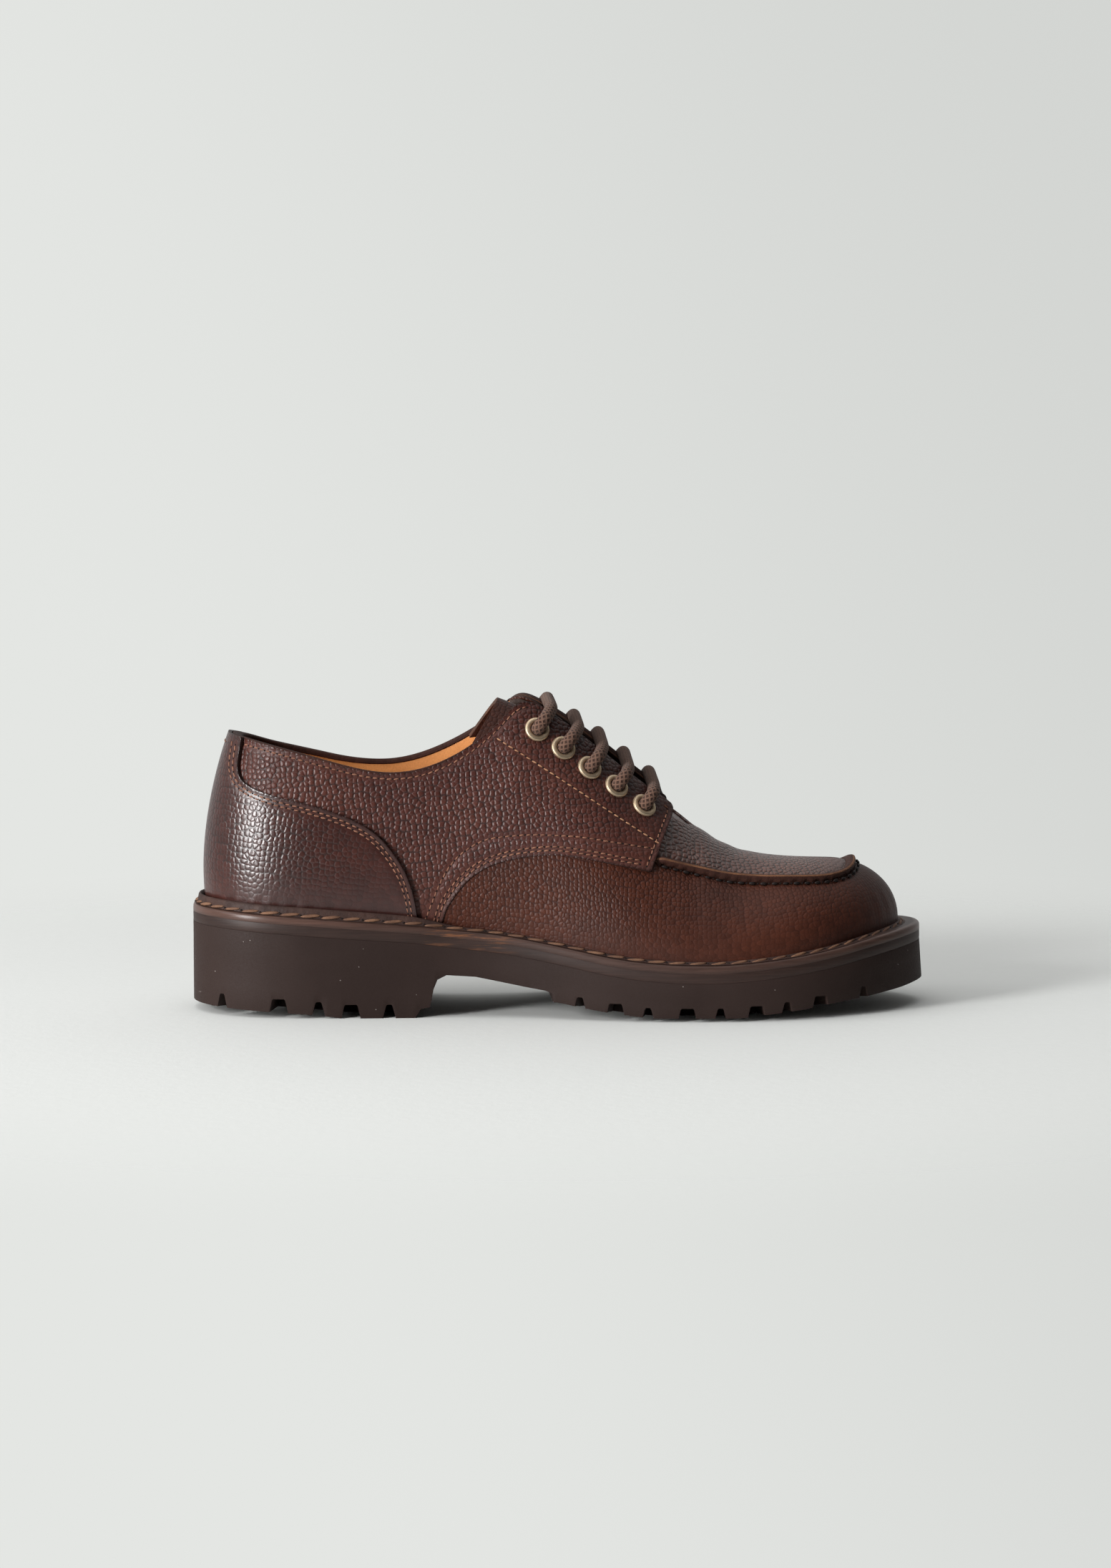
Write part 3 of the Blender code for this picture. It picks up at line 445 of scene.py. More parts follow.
def rangeNode(tree, value, low, high, toLow=0.0, toHigh=1.0):
    ends = {"Value": value, "From Min": low, "From Max": high, "To Min": toLow, "To Max": toHigh}
    return addNode(tree, "ShaderNodeMapRange", ends, interpolation_type="SMOOTHSTEP").outputs[0]


def mixColour(tree, share, first, second):
    return addNode(tree, "ShaderNodeMix", {0: share, 6: first, 7: second}, data_type="RGBA").outputs[2]


def noiseNode(tree, vector, scale, detail=2.0, roughness=0.5, out=0):
    settings = {"Vector": vector, "Scale": scale, "Detail": detail, "Roughness": roughness}
    return addNode(tree, "ShaderNodeTexNoise", settings).outputs[out]


def newGroup(name, inputs, outputs):
    tree = bpy.data.node_groups.new(name, "ShaderNodeTree")
    for label, kind, value in inputs:
        socket = tree.interface.new_socket(label, in_out="INPUT", socket_type=kind)
        if value is not None:
            socket.default_value = value
    for label, kind in outputs:
        tree.interface.new_socket(label, in_out="OUTPUT", socket_type=kind)
    return tree, tree.nodes.new("NodeGroupInput"), tree.nodes.new("NodeGroupOutput")


def makePebbleGroup():  # plump uneven cells with narrow creases, on a flat cut in millimetres
    tree, given, made = newGroup(
        "pebbles",
        (("Vector", "NodeSocketVector", None), ("Cell", "NodeSocketFloat", 2.2),
         ("Uneven", "NodeSocketFloat", 0.62)),
        (("Height", "NodeSocketFloat"), ("CreaseShade", "NodeSocketFloat"), ("Chance", "NodeSocketFloat")),
    )
    flat = given.outputs["Vector"]
    sway = vectorNode(tree, "SUBTRACT", noiseNode(tree, flat, 0.5, 1.0, out=1), (0.5, 0.5, 0.5))
    swayed = vectorNode(tree, "ADD", flat, vectorNode(tree, "MULTIPLY", sway, (0.7, 0.7, 0.0)))
    cells = {"Vector": vectorNode(tree, "DIVIDE", swayed, given.outputs["Cell"]), "Scale": 1.0,
             "Randomness": given.outputs["Uneven"]}
    border = addNode(tree, "ShaderNodeTexVoronoi", cells, voronoi_dimensions="2D", feature="DISTANCE_TO_EDGE")
    centre = addNode(tree, "ShaderNodeTexVoronoi", cells, voronoi_dimensions="2D", feature="F1")
    chance = addNode(tree, "ShaderNodeSeparateColor", {0: centre.outputs["Color"]}).outputs[0]
    dome = rangeNode(tree, border.outputs["Distance"], -0.03, 0.33)
    far = centre.outputs["Distance"]
    crown = rangeNode(tree, mathNode(tree, "MULTIPLY", far, far), 0.0, 0.46, 1.0, 0.0)
    plump = mathNode(tree, "MULTIPLY", mathNode(tree, "ADD", dome, crown), 0.5)
    size = mathNode(tree, "ADD", 0.80, mathNode(tree, "MULTIPLY", chance, 0.20))
    tree.links.new(mathNode(tree, "MULTIPLY", plump, size), made.inputs["Height"])
    # the crease mask, high in the crevices between the pebbles, marks where shade is painted
    tree.links.new(rangeNode(tree, plump, 0.10, 0.42, 1.0, 0.0), made.inputs["CreaseShade"])
    tree.links.new(chance, made.inputs["Chance"])
    return tree


def makeMottleGroup():  # slow change between two tones; its size is in millimetres
    tree, given, made = newGroup(
        "mottle",
        (("Vector", "NodeSocketVector", None), ("Size", "NodeSocketFloat", 30.0),
         ("First", "NodeSocketColor", None), ("Second", "NodeSocketColor", None)),
        (("Color", "NodeSocketColor"), ("Mask", "NodeSocketFloat")),
    )
    scale = mathNode(tree, "DIVIDE", 1000.0, given.outputs["Size"])
    slow = noiseNode(tree, given.outputs["Vector"], scale, 3.0, 0.6)
    mask = rangeNode(tree, slow, 0.32, 0.68)
    colour = mixColour(tree, mask, given.outputs["First"], given.outputs["Second"])
    tree.links.new(colour, made.inputs["Color"])
    tree.links.new(mask, made.inputs["Mask"])
    return tree


def useGroup(tree, group, **inputs):
    return addNode(tree, "ShaderNodeGroup", inputs, node_tree=group)


pebbleGroup = makePebbleGroup()
mottleGroup = makeMottleGroup()


def newMaterial(name, **constants):
    finish = bpy.data.materials.new(name)
    finish.use_nodes = True
    tree = finish.node_tree
    shader = tree.nodes["Principled BSDF"]
    for socket, value in constants.items():
        shader.inputs[socket.replace("_", " ")].default_value = value
    return finish, tree, shader


def attributeNode(tree, name):
    return addNode(tree, "ShaderNodeAttribute", attribute_name=name).outputs["Fac"]


def objectVector(tree):
    return tree.nodes.new("ShaderNodeTexCoord").outputs["Object"]


def addBump(tree, shader, height, depth, strength=1.0):
    bump = addNode(tree, "ShaderNodeBump", {"Height": height, "Distance": depth * mm, "Strength": strength})
    tree.links.new(bump.outputs[0], shader.inputs["Normal"])


leatherLooks = {  # linear colours; cell and depth in millimetres; the crease colour is painted shade in the pebbles' creases, and also the darker tone that the dark attribute mixes in
    "quarterLeather": {
        "tone": (0.075, 0.0235, 0.0165), "second": (0.058, 0.0175, 0.0130), "creaseShadeAndDark": (0.014, 0.006, 0.005),
        "cell": 2.05, "depth": 0.29, "gloss": (0.36, 0.48), "fine": 0.10, "specular": 0.32,
    },
    "counterLeather": {
        "tone": (0.045, 0.0125, 0.0090), "second": (0.032, 0.0095, 0.0075), "creaseShadeAndDark": (0.013, 0.005, 0.004),
        "cell": 2.05, "depth": 0.13, "gloss": (0.29, 0.36), "fine": 0.10, "specular": 0.62,
    },
    "vampLeather": {
        "tone": (0.060, 0.0165, 0.0085), "second": (0.048, 0.0145, 0.0085), "creaseShadeAndDark": (0.018, 0.006, 0.005),
        "cell": 1.8, "depth": 0.26, "gloss": (0.40, 0.50), "fine": 0.14, "specular": 0.20,
    },
    # the plug's tone is lighter than the vamp's: a painted sheen for its upward face
    "plugLeatherPaintedSheen": {
        "tone": (0.112, 0.046, 0.033), "second": (0.088, 0.036, 0.027), "creaseShadeAndDark": (0.016, 0.007, 0.006),
        "cell": 2.2, "depth": 0.46, "gloss": (0.32, 0.44), "fine": 0.10, "specular": 0.62,
    },
    "seamLeather": {
        "tone": (0.052, 0.019, 0.013), "second": (0.036, 0.014, 0.010), "creaseShadeAndDark": (0.016, 0.008, 0.007),
        "cell": 1.4, "depth": 0.12, "gloss": (0.52, 0.70), "fine": 0.3, "specular": 0.15,
    },
}


def makeLeather(name):
    look = leatherLooks[name]
    finish, tree, shader = newMaterial(name, Specular_IOR_Level=look["specular"])
    flat = addNode(tree, "ShaderNodeUVMap", uv_map="cut").outputs[0]
    pebbles = useGroup(tree, pebbleGroup, Vector=flat, Cell=look["cell"])
    grain = attributeNode(tree, "grain")
    fine = noiseNode(tree, flat, 1.7, 3.0, 0.6)
    raised = mathNode(tree, "MULTIPLY", pebbles.outputs["Height"], grain)
    height = mathNode(tree, "ADD", raised, mathNode(tree, "MULTIPLY", fine, look["fine"]))
    addBump(tree, shader, height, look["depth"])
    tone = useGroup(tree, mottleGroup, Vector=objectVector(tree), Size=34.0,
                    First=look["tone"], Second=look["second"])
    # creases mixed towards the crease colour: painted shade in the crevices between the pebbles
    sunk = mathNode(tree, "MULTIPLY", pebbles.outputs["CreaseShade"], grain)
    shade = mathNode(tree, "ADD", 0.84, mathNode(tree, "MULTIPLY", pebbles.outputs["Chance"], 0.32))
    colour = vectorNode(tree, "MULTIPLY", tone.outputs["Color"], shade)
    colour = mixColour(tree, mathNode(tree, "MULTIPLY", sunk, 0.75), colour, look["creaseShadeAndDark"])
    colour = mixColour(tree, attributeNode(tree, "dark"), colour, look["creaseShadeAndDark"])
    tree.links.new(colour, shader.inputs["Base Color"])
    gloss = rangeNode(tree, height, 0.0, 1.0, *look["gloss"][::-1])
    tree.links.new(gloss, shader.inputs["Roughness"])
    return finish


def makePlain(name, first, second, size, roughness, bumpScale, depth, **constants):  # mottled, with a fine nap
    finish, tree, shader = newMaterial(name, **{"Specular_IOR_Level": 0.25, **constants})
    vector = objectVector(tree)
    tone = useGroup(tree, mottleGroup, Vector=vector, Size=size, First=first, Second=second)
    nap = noiseNode(tree, vector, bumpScale, 4.0, 0.65)
    shade = rangeNode(tree, nap, 0.3, 0.7, 0.82, 1.0)
    colour = vectorNode(tree, "MULTIPLY", tone.outputs["Color"], shade)
    tree.links.new(colour, shader.inputs["Base Color"])
    dull = rangeNode(tree, nap, 0.3, 0.7, roughness + 0.08, roughness - 0.08)
    tree.links.new(dull, shader.inputs["Roughness"])
    addBump(tree, shader, nap, depth)
    return finish


def makeRubber():
    finish, tree, shader = newMaterial("moulded_rubber", Specular_IOR_Level=0.15)
    vector = objectVector(tree)
    tone = useGroup(tree, mottleGroup, Vector=vector, Size=55.0,
                    First=(0.0205, 0.0115, 0.0095), Second=(0.027, 0.0160, 0.0135))
    dustCells = addNode(tree, "ShaderNodeTexVoronoi", {"Vector": vector, "Scale": 420.0})
    speck = mathNode(tree, "LESS_THAN", dustCells.outputs["Distance"], 0.075)
    rare = mathNode(tree, "GREATER_THAN", noiseNode(tree, vector, 150.0, 0.0), 0.66)
    dust = mathNode(tree, "MULTIPLY", speck, rare)
    colour = mixColour(tree, dust, tone.outputs["Color"], (0.30, 0.27, 0.25))
    tree.links.new(colour, shader.inputs["Base Color"])
    grit = noiseNode(tree, vector, 1600.0, 3.0, 0.7)
    tree.links.new(rangeNode(tree, grit, 0.3, 0.7, 0.72, 0.58), shader.inputs["Roughness"])
    addBump(tree, shader, grit, 0.05)
    return finish


def makeBand():  # sanded edge of the welt and midsole, burnished along its top, where its lighter colour is a painted sheen, and scuffed at the waist
    finish, tree, shader = newMaterial("sanded_band", Specular_IOR_Level=0.27)
    vector = objectVector(tree)
    tone = useGroup(tree, mottleGroup, Vector=vector, Size=40.0,
                    First=(0.0225, 0.0115, 0.0090), Second=(0.031, 0.0160, 0.0125))
    wornAndSheen = attributeNode(tree, "wornAndSheen")
    lines = noiseNode(tree, vectorNode(tree, "MULTIPLY", vector, (70.0, 70.0, 1500.0)), 1.0, 3.0, 0.6)
    # the burnished top painted lighter: a painted sheen; the same share also lowers the roughness below
    paintedSheen = mathNode(tree, "MULTIPLY", wornAndSheen, 0.75)
    brown = mixColour(tree, paintedSheen, tone.outputs["Color"], (0.100, 0.054, 0.042))
    brown = vectorNode(tree, "MULTIPLY", brown, rangeNode(tree, lines, 0.3, 0.7, 0.80, 1.15))
    parts = addNode(tree, "ShaderNodeSeparateXYZ", {0: vector})
    waist = mathNode(tree, "MULTIPLY", rangeNode(tree, parts.outputs[0], -0.060, -0.048),
                     rangeNode(tree, parts.outputs[0], -0.028, -0.014, 1.0, 0.0))
    near = rangeNode(tree, parts.outputs[1], -0.01, 0.01, 1.0, 0.0)
    streaks = noiseNode(tree, vectorNode(tree, "MULTIPLY", vector, (55.0, 55.0, 700.0)), 1.0, 4.0, 0.7)
    scraped = rangeNode(tree, streaks, 0.50, 0.66)
    scuff = mathNode(tree, "MULTIPLY", mathNode(tree, "MULTIPLY", waist, near), scraped)
    upper = mathNode(tree, "ADD", 0.25, mathNode(tree, "MULTIPLY", wornAndSheen, 0.6))
    scuff = mathNode(tree, "MULTIPLY", scuff, upper)
    tree.links.new(mixColour(tree, scuff, brown, (0.25, 0.095, 0.036)), shader.inputs["Base Color"])
    dull = mathNode(tree, "SUBTRACT", 0.52, mathNode(tree, "MULTIPLY", wornAndSheen, 0.20))
    tree.links.new(dull, shader.inputs["Roughness"])
    addBump(tree, shader, lines, 0.06)
    return finish


def makeBraid():  # round cotton lace: two sets of strands that cross, with painted shade between the strands
    sheen = {"Sheen_Weight": 0.08, "Sheen_Roughness": 0.5}
    finish, tree, shader = newMaterial("lace_braid", Specular_IOR_Level=0.2, **sheen)
    flat = addNode(tree, "ShaderNodeUVMap", uv_map="cut").outputs[0]
    parts = addNode(tree, "ShaderNodeSeparateXYZ", {0: flat})
    strands = []
    strandsRound, slope = 7, 4.0
    for turn in (1.0, -1.0):
        sweep = mathNode(tree, "ADD", mathNode(tree, "MULTIPLY", parts.outputs[0], slope),
                         mathNode(tree, "MULTIPLY", parts.outputs[1], turn * strandsRound * 2 * math.pi))
        strands.append(mathNode(tree, "SINE", sweep))
    weave = mathNode(tree, "MAXIMUM", strands[0], strands[1])
    fuzz = noiseNode(tree, flat, 3.0, 4.0, 0.7)
    height = mathNode(tree, "ADD", mathNode(tree, "MULTIPLY", weave, 0.5), fuzz)
    addBump(tree, shader, height, 0.26)
    # dark where the strands dip and light on their crowns: painted shade between the strands
    tone = mixColour(tree, rangeNode(tree, weave, -0.2, 1.0), (0.034, 0.0155, 0.010), (0.150, 0.081, 0.056))
    tone = mixColour(tree, rangeNode(tree, fuzz, 0.45, 0.80), tone, (0.110, 0.064, 0.046))
    tree.links.new(tone, shader.inputs["Base Color"])
    tree.links.new(rangeNode(tree, fuzz, 0.2, 0.8, 0.9, 0.72), shader.inputs["Roughness"])
    return finish


def makeBrass():
    finish, tree, shader = newMaterial("antique_brass", Metallic=0.95)
    vector = objectVector(tree)
    tone = useGroup(tree, mottleGroup, Vector=vector, Size=4.0,
                    First=(0.72, 0.565, 0.395), Second=(0.60, 0.465, 0.315))
    tree.links.new(tone.outputs["Color"], shader.inputs["Base Color"])
    wornAndSheen = noiseNode(tree, vector, 900.0, 4.0, 0.7)
    tree.links.new(rangeNode(tree, wornAndSheen, 0.3, 0.7, 0.40, 0.54), shader.inputs["Roughness"])
    addBump(tree, shader, wornAndSheen, 0.02)
    return finish


quarterLeather, counterLeather = makeLeather("quarterLeather"), makeLeather("counterLeather")
vampLeather, plugLeatherPaintedSheen = makeLeather("vampLeather"), makeLeather("plugLeatherPaintedSheen")
seamLeather = makeLeather("seamLeather")
cutEdge = makePlain("cut_edge", (0.030, 0.014, 0.012), (0.044, 0.020, 0.016), 14.0, 0.52, 900.0, 0.08)
rawEdge = makePlain("raw_edge", (0.20, 0.088, 0.042), (0.10, 0.042, 0.022), 9.0, 0.7, 1200.0, 0.10)
weltLeather = makeBand()
lipLeather = makePlain("welt_lip", (0.030, 0.014, 0.011), (0.050, 0.024, 0.018), 9.0, 0.62, 420.0, 0.35)
facingBack = makePlain("facing_back", (0.052, 0.030, 0.022), (0.038, 0.022, 0.017), 12.0, 0.68, 1200.0, 0.05)
backEdge = makePlain("back_edge", (0.110, 0.048, 0.027), (0.060, 0.028, 0.018), 7.0, 0.7, 1200.0, 0.08)
liningLeather = makePlain("tan_lining", (0.80, 0.335, 0.105), (0.64, 0.245, 0.072), 30.0, 0.58, 1500.0, 0.05)
tanThread = makePlain("tan_thread", (0.44, 0.235, 0.135), (0.32, 0.155, 0.085), 5.0, 0.6, 2500.0, 0.06)
brownThread = makePlain("brown_thread", (0.27, 0.125, 0.078), (0.17, 0.075, 0.047), 5.0, 0.6, 2500.0, 0.06)
weltThread = makePlain("welt_thread", (0.205, 0.105, 0.060), (0.115, 0.056, 0.034), 8.0, 0.62, 1800.0, 0.12)
darkThread = makePlain("dark_thread", (0.010, 0.005, 0.004), (0.007, 0.0035, 0.003), 6.0, 0.6, 2500.0, 0.06)
# near-black finish for the pits at the stitch holes: painted shade in the holes
holeShade = makePlain("holeShade", (0.010, 0.005, 0.004), (0.014, 0.007, 0.006), 5.0, 0.9, 900.0, 0.02)
rubber, laceBraid, brass = makeRubber(), makeBraid(), makeBrass()
print("materials made:", len(bpy.data.materials))

# Camera, floor and light

view = {
    "azimuth": -3.0, "pitch": 5.6, "distance": 1.8, "lens": 107.573, "target": (139.479, -7.310, 86.05),
    "floorRadius": 1.6, "floorFade": (0.19, 0.48), "floorTone": (0.80, 0.815, 0.795),
    "backdrop": ((0.776, 0.791, 0.768), (0.651, 0.665, 0.645)),  # from the left of the picture to the right, lighter on the left as painted light falloff from the lamps there
    "backdropTurn": (-0.10, 0.21),  # the directions over which it changes
    "ambient": (0.05, 0.62), "ambientFrom": (-0.20, 0.95, 0.22),  # in front, behind, and where it is brightest
    "ambientTurn": (-0.35, 0.95), "lightsAim": (0.0, 0.0, 0.05),
    "key": {"place": (-2.15, -1.72, 0.62), "size": (0.65, 1.3), "power": 108.0},
    "top": {"place": (-0.3, -0.5, 3.0), "size": (2.8, 2.8), "power": 31.0},
    "side": {"place": (-2.4, -0.6, 1.6), "size": (1.5, 1.5), "power": 19.0},
}


def makeCamera():
    data = bpy.data.cameras.new("camera")
    data.lens = view["lens"]
    data.clip_start, data.clip_end = 0.05, 50.0
    camera = addObject("camera", data)
    camera.rotation_euler = (math.radians(90 - view["pitch"]), 0.0, math.radians(view["azimuth"]))
    back = Euler(camera.rotation_euler).to_matrix() @ Vector((0, 0, 1))
    camera.location = Vector(toWorld(view["target"])) + back * view["distance"]
    bpy.context.scene.camera = camera


def makeFloor():
    finish, tree, shader = newMaterial("floor_paper", Roughness=0.85, Specular_IOR_Level=0.2)
    vector = objectVector(tree)
    paper = noiseNode(tree, vector, 220.0, 4.0, 0.7)
    tint = rangeNode(tree, paper, 0.3, 0.7, 0.985, 1.0)
    tree.links.new(vectorNode(tree, "MULTIPLY", view["floorTone"], tint), shader.inputs["Base Color"])
    addBump(tree, shader, paper, 0.12)
    away = vectorNode(tree, "LENGTH", vector, out=1)
    tree.links.new(rangeNode(tree, away, *view["floorFade"], 1.0, 0.0), shader.inputs["Alpha"])
    turns = np.linspace(0, 2 * math.pi, 96, endpoint=False)
    ring = [(math.cos(a) * view["floorRadius"], math.sin(a) * view["floorRadius"], 0.0) for a in turns]
    mesh = bpy.data.meshes.new("floor")
    mesh.from_pydata(ring, [], [tuple(range(len(ring)))])
    mesh.materials.append(finish)
    floor = addObject("floor", mesh)


def makeLights():
    world = bpy.data.worlds.new("studio")
    bpy.context.scene.world = world
    world.use_nodes = True
    tree = world.node_tree
    direction = tree.nodes.new("ShaderNodeTexCoord").outputs["Generated"]
    sideways = vectorNode(tree, "DOT_PRODUCT", direction, (1.0, 0.0, 0.35), out=1)
    backdrop = tree.nodes["Background"]
    # the backdrop seen by the camera, lighter on the left: painted light falloff
    paper = mixColour(tree, rangeNode(tree, sideways, *view["backdropTurn"]), *view["backdrop"])
    tree.links.new(paper, backdrop.inputs["Color"])
    toward = vectorNode(tree, "DOT_PRODUCT", direction, view["ambientFrom"], out=1)
    strength = rangeNode(tree, toward, *view["ambientTurn"], *view["ambient"])
    soft = addNode(tree, "ShaderNodeBackground", {"Color": (1.0, 1.0, 0.99), "Strength": strength})
    seen = tree.nodes.new("ShaderNodeLightPath").outputs["Is Camera Ray"]
    mix = addNode(tree, "ShaderNodeMixShader", {0: seen, 1: soft.outputs[0], 2: backdrop.outputs[0]})
    tree.links.new(mix.outputs[0], tree.nodes["World Output"].inputs[0])
    for name in ("key", "top", "side"):
        light = view[name]
        data = bpy.data.lights.new(name, "AREA")
        data.shape = "RECTANGLE"
        data.size, data.size_y = light["size"]
        data.energy = light["power"]
        lamp = addObject(name, data)
        lamp.location = light["place"]
        lamp.rotation_euler = (Vector(view["lightsAim"]) - lamp.location).to_track_quat("-Z", "Y").to_euler()
    bpy.context.scene.view_settings.view_transform = "Standard"


makeCamera()
makeFloor()
makeLights()
print("camera, floor and light placed")

# Eyelet places, used by the facings, the rings and the lace

eyelets = {
    # (along the shoe, down from the facing edge)
    "places": ((131.7, 11.6), (141.6, 13.6), (151.6, 13.9), (161.9, 12.8), (172.5, 12.0)), "count": 5,
    "ribs": (6.0, 10.5),  # they lie between these
    "bore": 2.66, "barrel": 3.2, "flange": 4.85, "hole": 3.3, "sides": 40, "deep": 2.2, "lift": 0.12,
    "roll": {"middle": 3.78, "half": 1.08, "high": 0.70, "up": 0.35, "turn": (0.35, math.pi - 0.2), "steps": 9},
}


def facingT(s, distance):  # t that lies a distance down the quarter from its facing edge
    steps = np.linspace(1, 0.3, 60)
    run = runOf(quarterPoint(np.full(60, s), steps, last["overlay"]))
    return float(np.interp(distance, run, steps))


def placeEyelets():  # one dict for each eyelet, top to throat, little-toe side first
    places = []
    for side in (-1, 1):
        for x, setback in eyelets["places"]:
            low, high = eyelets["ribs"]
            for _ in range(30):
                rib = (low + high) / 2
                t = facingT(side * rib, setback)
                here = quarterPoint(side * rib, t, last["overlay"])
                low, high = (rib, high) if here[0] < x else (low, rib)
            out = surfaceNormal(lambda s, t: quarterPoint(s, t, last["overlay"]), side * rib, t)
            places.append({"side": side, "point": here, "out": out})
    return places


eyeletPlaces = placeEyelets()


def makePins(name, deep, high, sides=24):  # a pin through each eyelet, for cutting
    points, faces = [], []
    turns = np.linspace(0, 2 * math.pi, sides, endpoint=False)
    for place in eyeletPlaces:
        across = np.cross(place["out"], (1.0, 0.0, 0.0))
        across /= np.linalg.norm(across)
        other = np.cross(place["out"], across)
        first = len(points)
        for height in (-deep, high):
            middle = place["point"] + place["out"] * height
            points += [middle + (across * math.cos(a) + other * math.sin(a)) * eyelets["hole"] for a in turns]
        faces += [[first + v for v in face] for face in tubeFaces(2, sides)]
    pins = addPiece(name, points, faces, [])
    turnFaces(pins)
    pins.hide_render = True
    return pins


# Seam lines in the side view, in millimetres

seams = {
    "counterEdge": (
        (85.8, 36.0), (84.6, 44.0), (82.0, 52.8), (76.8, 62.0), (69.0, 70.3), (58.0, 76.3), (45.0, 80.6),
        (32.0, 83.8), (23.5, 86.8), (19.6, 90.0), (18.6, 94.0), (19.2, 99.0), (20.2, 105.0),
    ),
    "quarterArch": (
        (95.2, 36.0), (96.6, 40.5), (100.8, 47.1), (106.5, 53.2), (115.0, 58.0), (126.0, 60.7), (137.0, 61.6),
        (148.0, 60.3), (161.5, 57.5), (173.8, 54.9),
    ),
    "quarterFront": (
        (173.8, 54.9), (177.4, 62.7), (181.0, 70.2), (183.0, 74.2), (183.6, 76.3), (183.1, 77.9), (182.0, 78.9),
    ),
    "thirdArch": (
        (88.8, 36.9), (96.0, 53.8), (102.6, 62.0), (114.0, 67.7), (129.6, 69.1), (144.7, 68.4), (158.0, 66.2),
        (174.8, 62.9),
    ),
    "facing": ((117.2, 104.3), (131.0, 95.4), (145.9, 85.5), (160.7, 75.5), (176.6, 65.0)),
    "edgeRows": (1.7, 3.1),  # double rows, in from a cut edge
    "facingRow": 3,  # its place among the quarter's rows
    "frontRow": 2.2, "collarRow": 2.4, "collarRibs": (0.62, 6.75), "topShare": 0.955,
    "pressDepth": 0.30, "pressWidth": 0.8,
    "tabRow": (0.42, 0.945, 24),  # across the counter's tab: (half its width in ribs, t, points)
}


def stitchRows(side):  # (s, t) lines of thread on the quarter and on the counter
    onQuarter, onCounter = [], []
    arch = smoothLine(seams["quarterArch"], 60)
    front = smoothLine(seams["quarterFront"], 30)
    edge = smoothLine(seams["counterEdge"], 70)
    for distance in seams["edgeRows"]:
        onQuarter.append(placeOn(quarterPoint, side, shiftLine(arch, distance)[:-3]))
        row = placeOn(counterPoint, side, shiftLine(edge, distance))
        onCounter.append(row[row[:, 1] < seams["topShare"]])
    for name, count in (("thirdArch", 60), ("facing", 50)):
        onQuarter.append(placeOn(quarterPoint, side, smoothLine(seams[name], count)))
    onQuarter.append(placeOn(quarterPoint, side, shiftLine(front, seams["frontRow"])[1:]))
    collar = []
    for rib in np.linspace(*seams["collarRibs"], 60):
        steps = np.linspace(1.0, 0.6, 30)
        run = runOf(quarterPoint(np.full(30, side * rib), steps))
        collar.append((side * rib, np.interp(seams["collarRow"], run, steps)))
    onQuarter.append(np.array(collar))
    return onQuarter, onCounter


rows = {side: stitchRows(side) for side in (-1, 1)}
print("stitch rows placed:", sum(len(part) for side in rows.values() for part in side))


def pressRows(points, normals, lines, surface, lift):  # leather drawn down along its stitch rows
    path = np.concatenate([surface(line[:, 0], line[:, 1], lift) for line in lines])
    away = nearestOn(path, points)[0]
    sunk = seams["pressDepth"] * np.exp(-((away / seams["pressWidth"]) ** 2))
    return points - normals * sunk[:, None], away


def edgeShare(points, line, reach):  # 1 on a line, falling to 0 at a distance from it
    return 1.0 - smoothStep(0.0, reach, nearestOn(line, points)[0])


def coonsPatch(bottom, top, left, right):  # (s, t) grid between four border lines
    u = np.linspace(0, 1, len(bottom))[None, :, None]
    v = np.linspace(0, 1, len(left))[:, None, None]
    ruled = (1 - v) * bottom[None] + v * top[None] + (1 - u) * left[:, None] + u * right[:, None]
    corners = ((1 - u) * (1 - v) * bottom[0] + u * (1 - v) * bottom[-1]
               + (1 - u) * v * top[0] + u * v * top[-1])
    return ruled - corners


sheets = {"edgeDark": 0.65, "edgeReach": 1.2, "rowGrain": 0.25, "rowReach": (0.6, 2.2), "round": 0.38}


def leatherSheet(name, grid, surface, lines, finish, grain, folds=None):
    lift = last["overlay"]
    s, t = grid[..., 0].ravel(), np.clip(grid[..., 1].ravel(), 0.0, 1.0)
    flatPoints = surface(s, t, lift)
    normals = surfaceNormal(lambda a, b: surface(a, b, lift), s, t)
    points, away = pressRows(flatPoints, normals, lines, surface, lift)
    if folds:
        points = points + normals * folds(points)[:, None]
    rowsCount, columns = grid.shape[:2]
    sheet = addPiece(name, points, gridFaces(rowsCount, columns), [finish, cutEdge])
    facing = sum(face.normal.dot(Vector(normals[face.vertices[0]])) for face in sheet.data.polygons)
    if facing < 0:
        sheet.data.flip_normals()
    layFlat(sheet)
    border = np.concatenate([
        flatPoints.reshape(rowsCount, columns, 3)[edge] for edge in
        ((0, slice(None)), (-1, slice(None)), (slice(None), 0), (slice(None), -1))
    ])
    offRows = sheets["rowGrain"] + (1 - sheets["rowGrain"]) * smoothStep(*sheets["rowReach"], away)
    edge = sheets["edgeDark"] * edgeShare(points, border, sheets["edgeReach"])
    setGrain(sheet, grain(points) * offRows, edge)
    thicken(sheet, last["overlay"], rim=1)
    roundEdges(sheet, sheets["round"])
    return sheet


# Quarters

quarter = {
    "heelGap": 0.03, "footRise": 1.4, "footShare": 0.42, "columns": 190, "rows": 64, "frontX": 180.4,
    "frontRibs": (8.0, 9.6),  # the top corner of the front lies between these
    "grainUp": (36.0, 50.0), "grainLeast": 0.35, "frontFade": (150.0, 178.0), "frontLess": 0.45,
}
facings = {"fromRib": 6.35, "width": 21.0, "thickness": 0.75, "lift": -0.05}


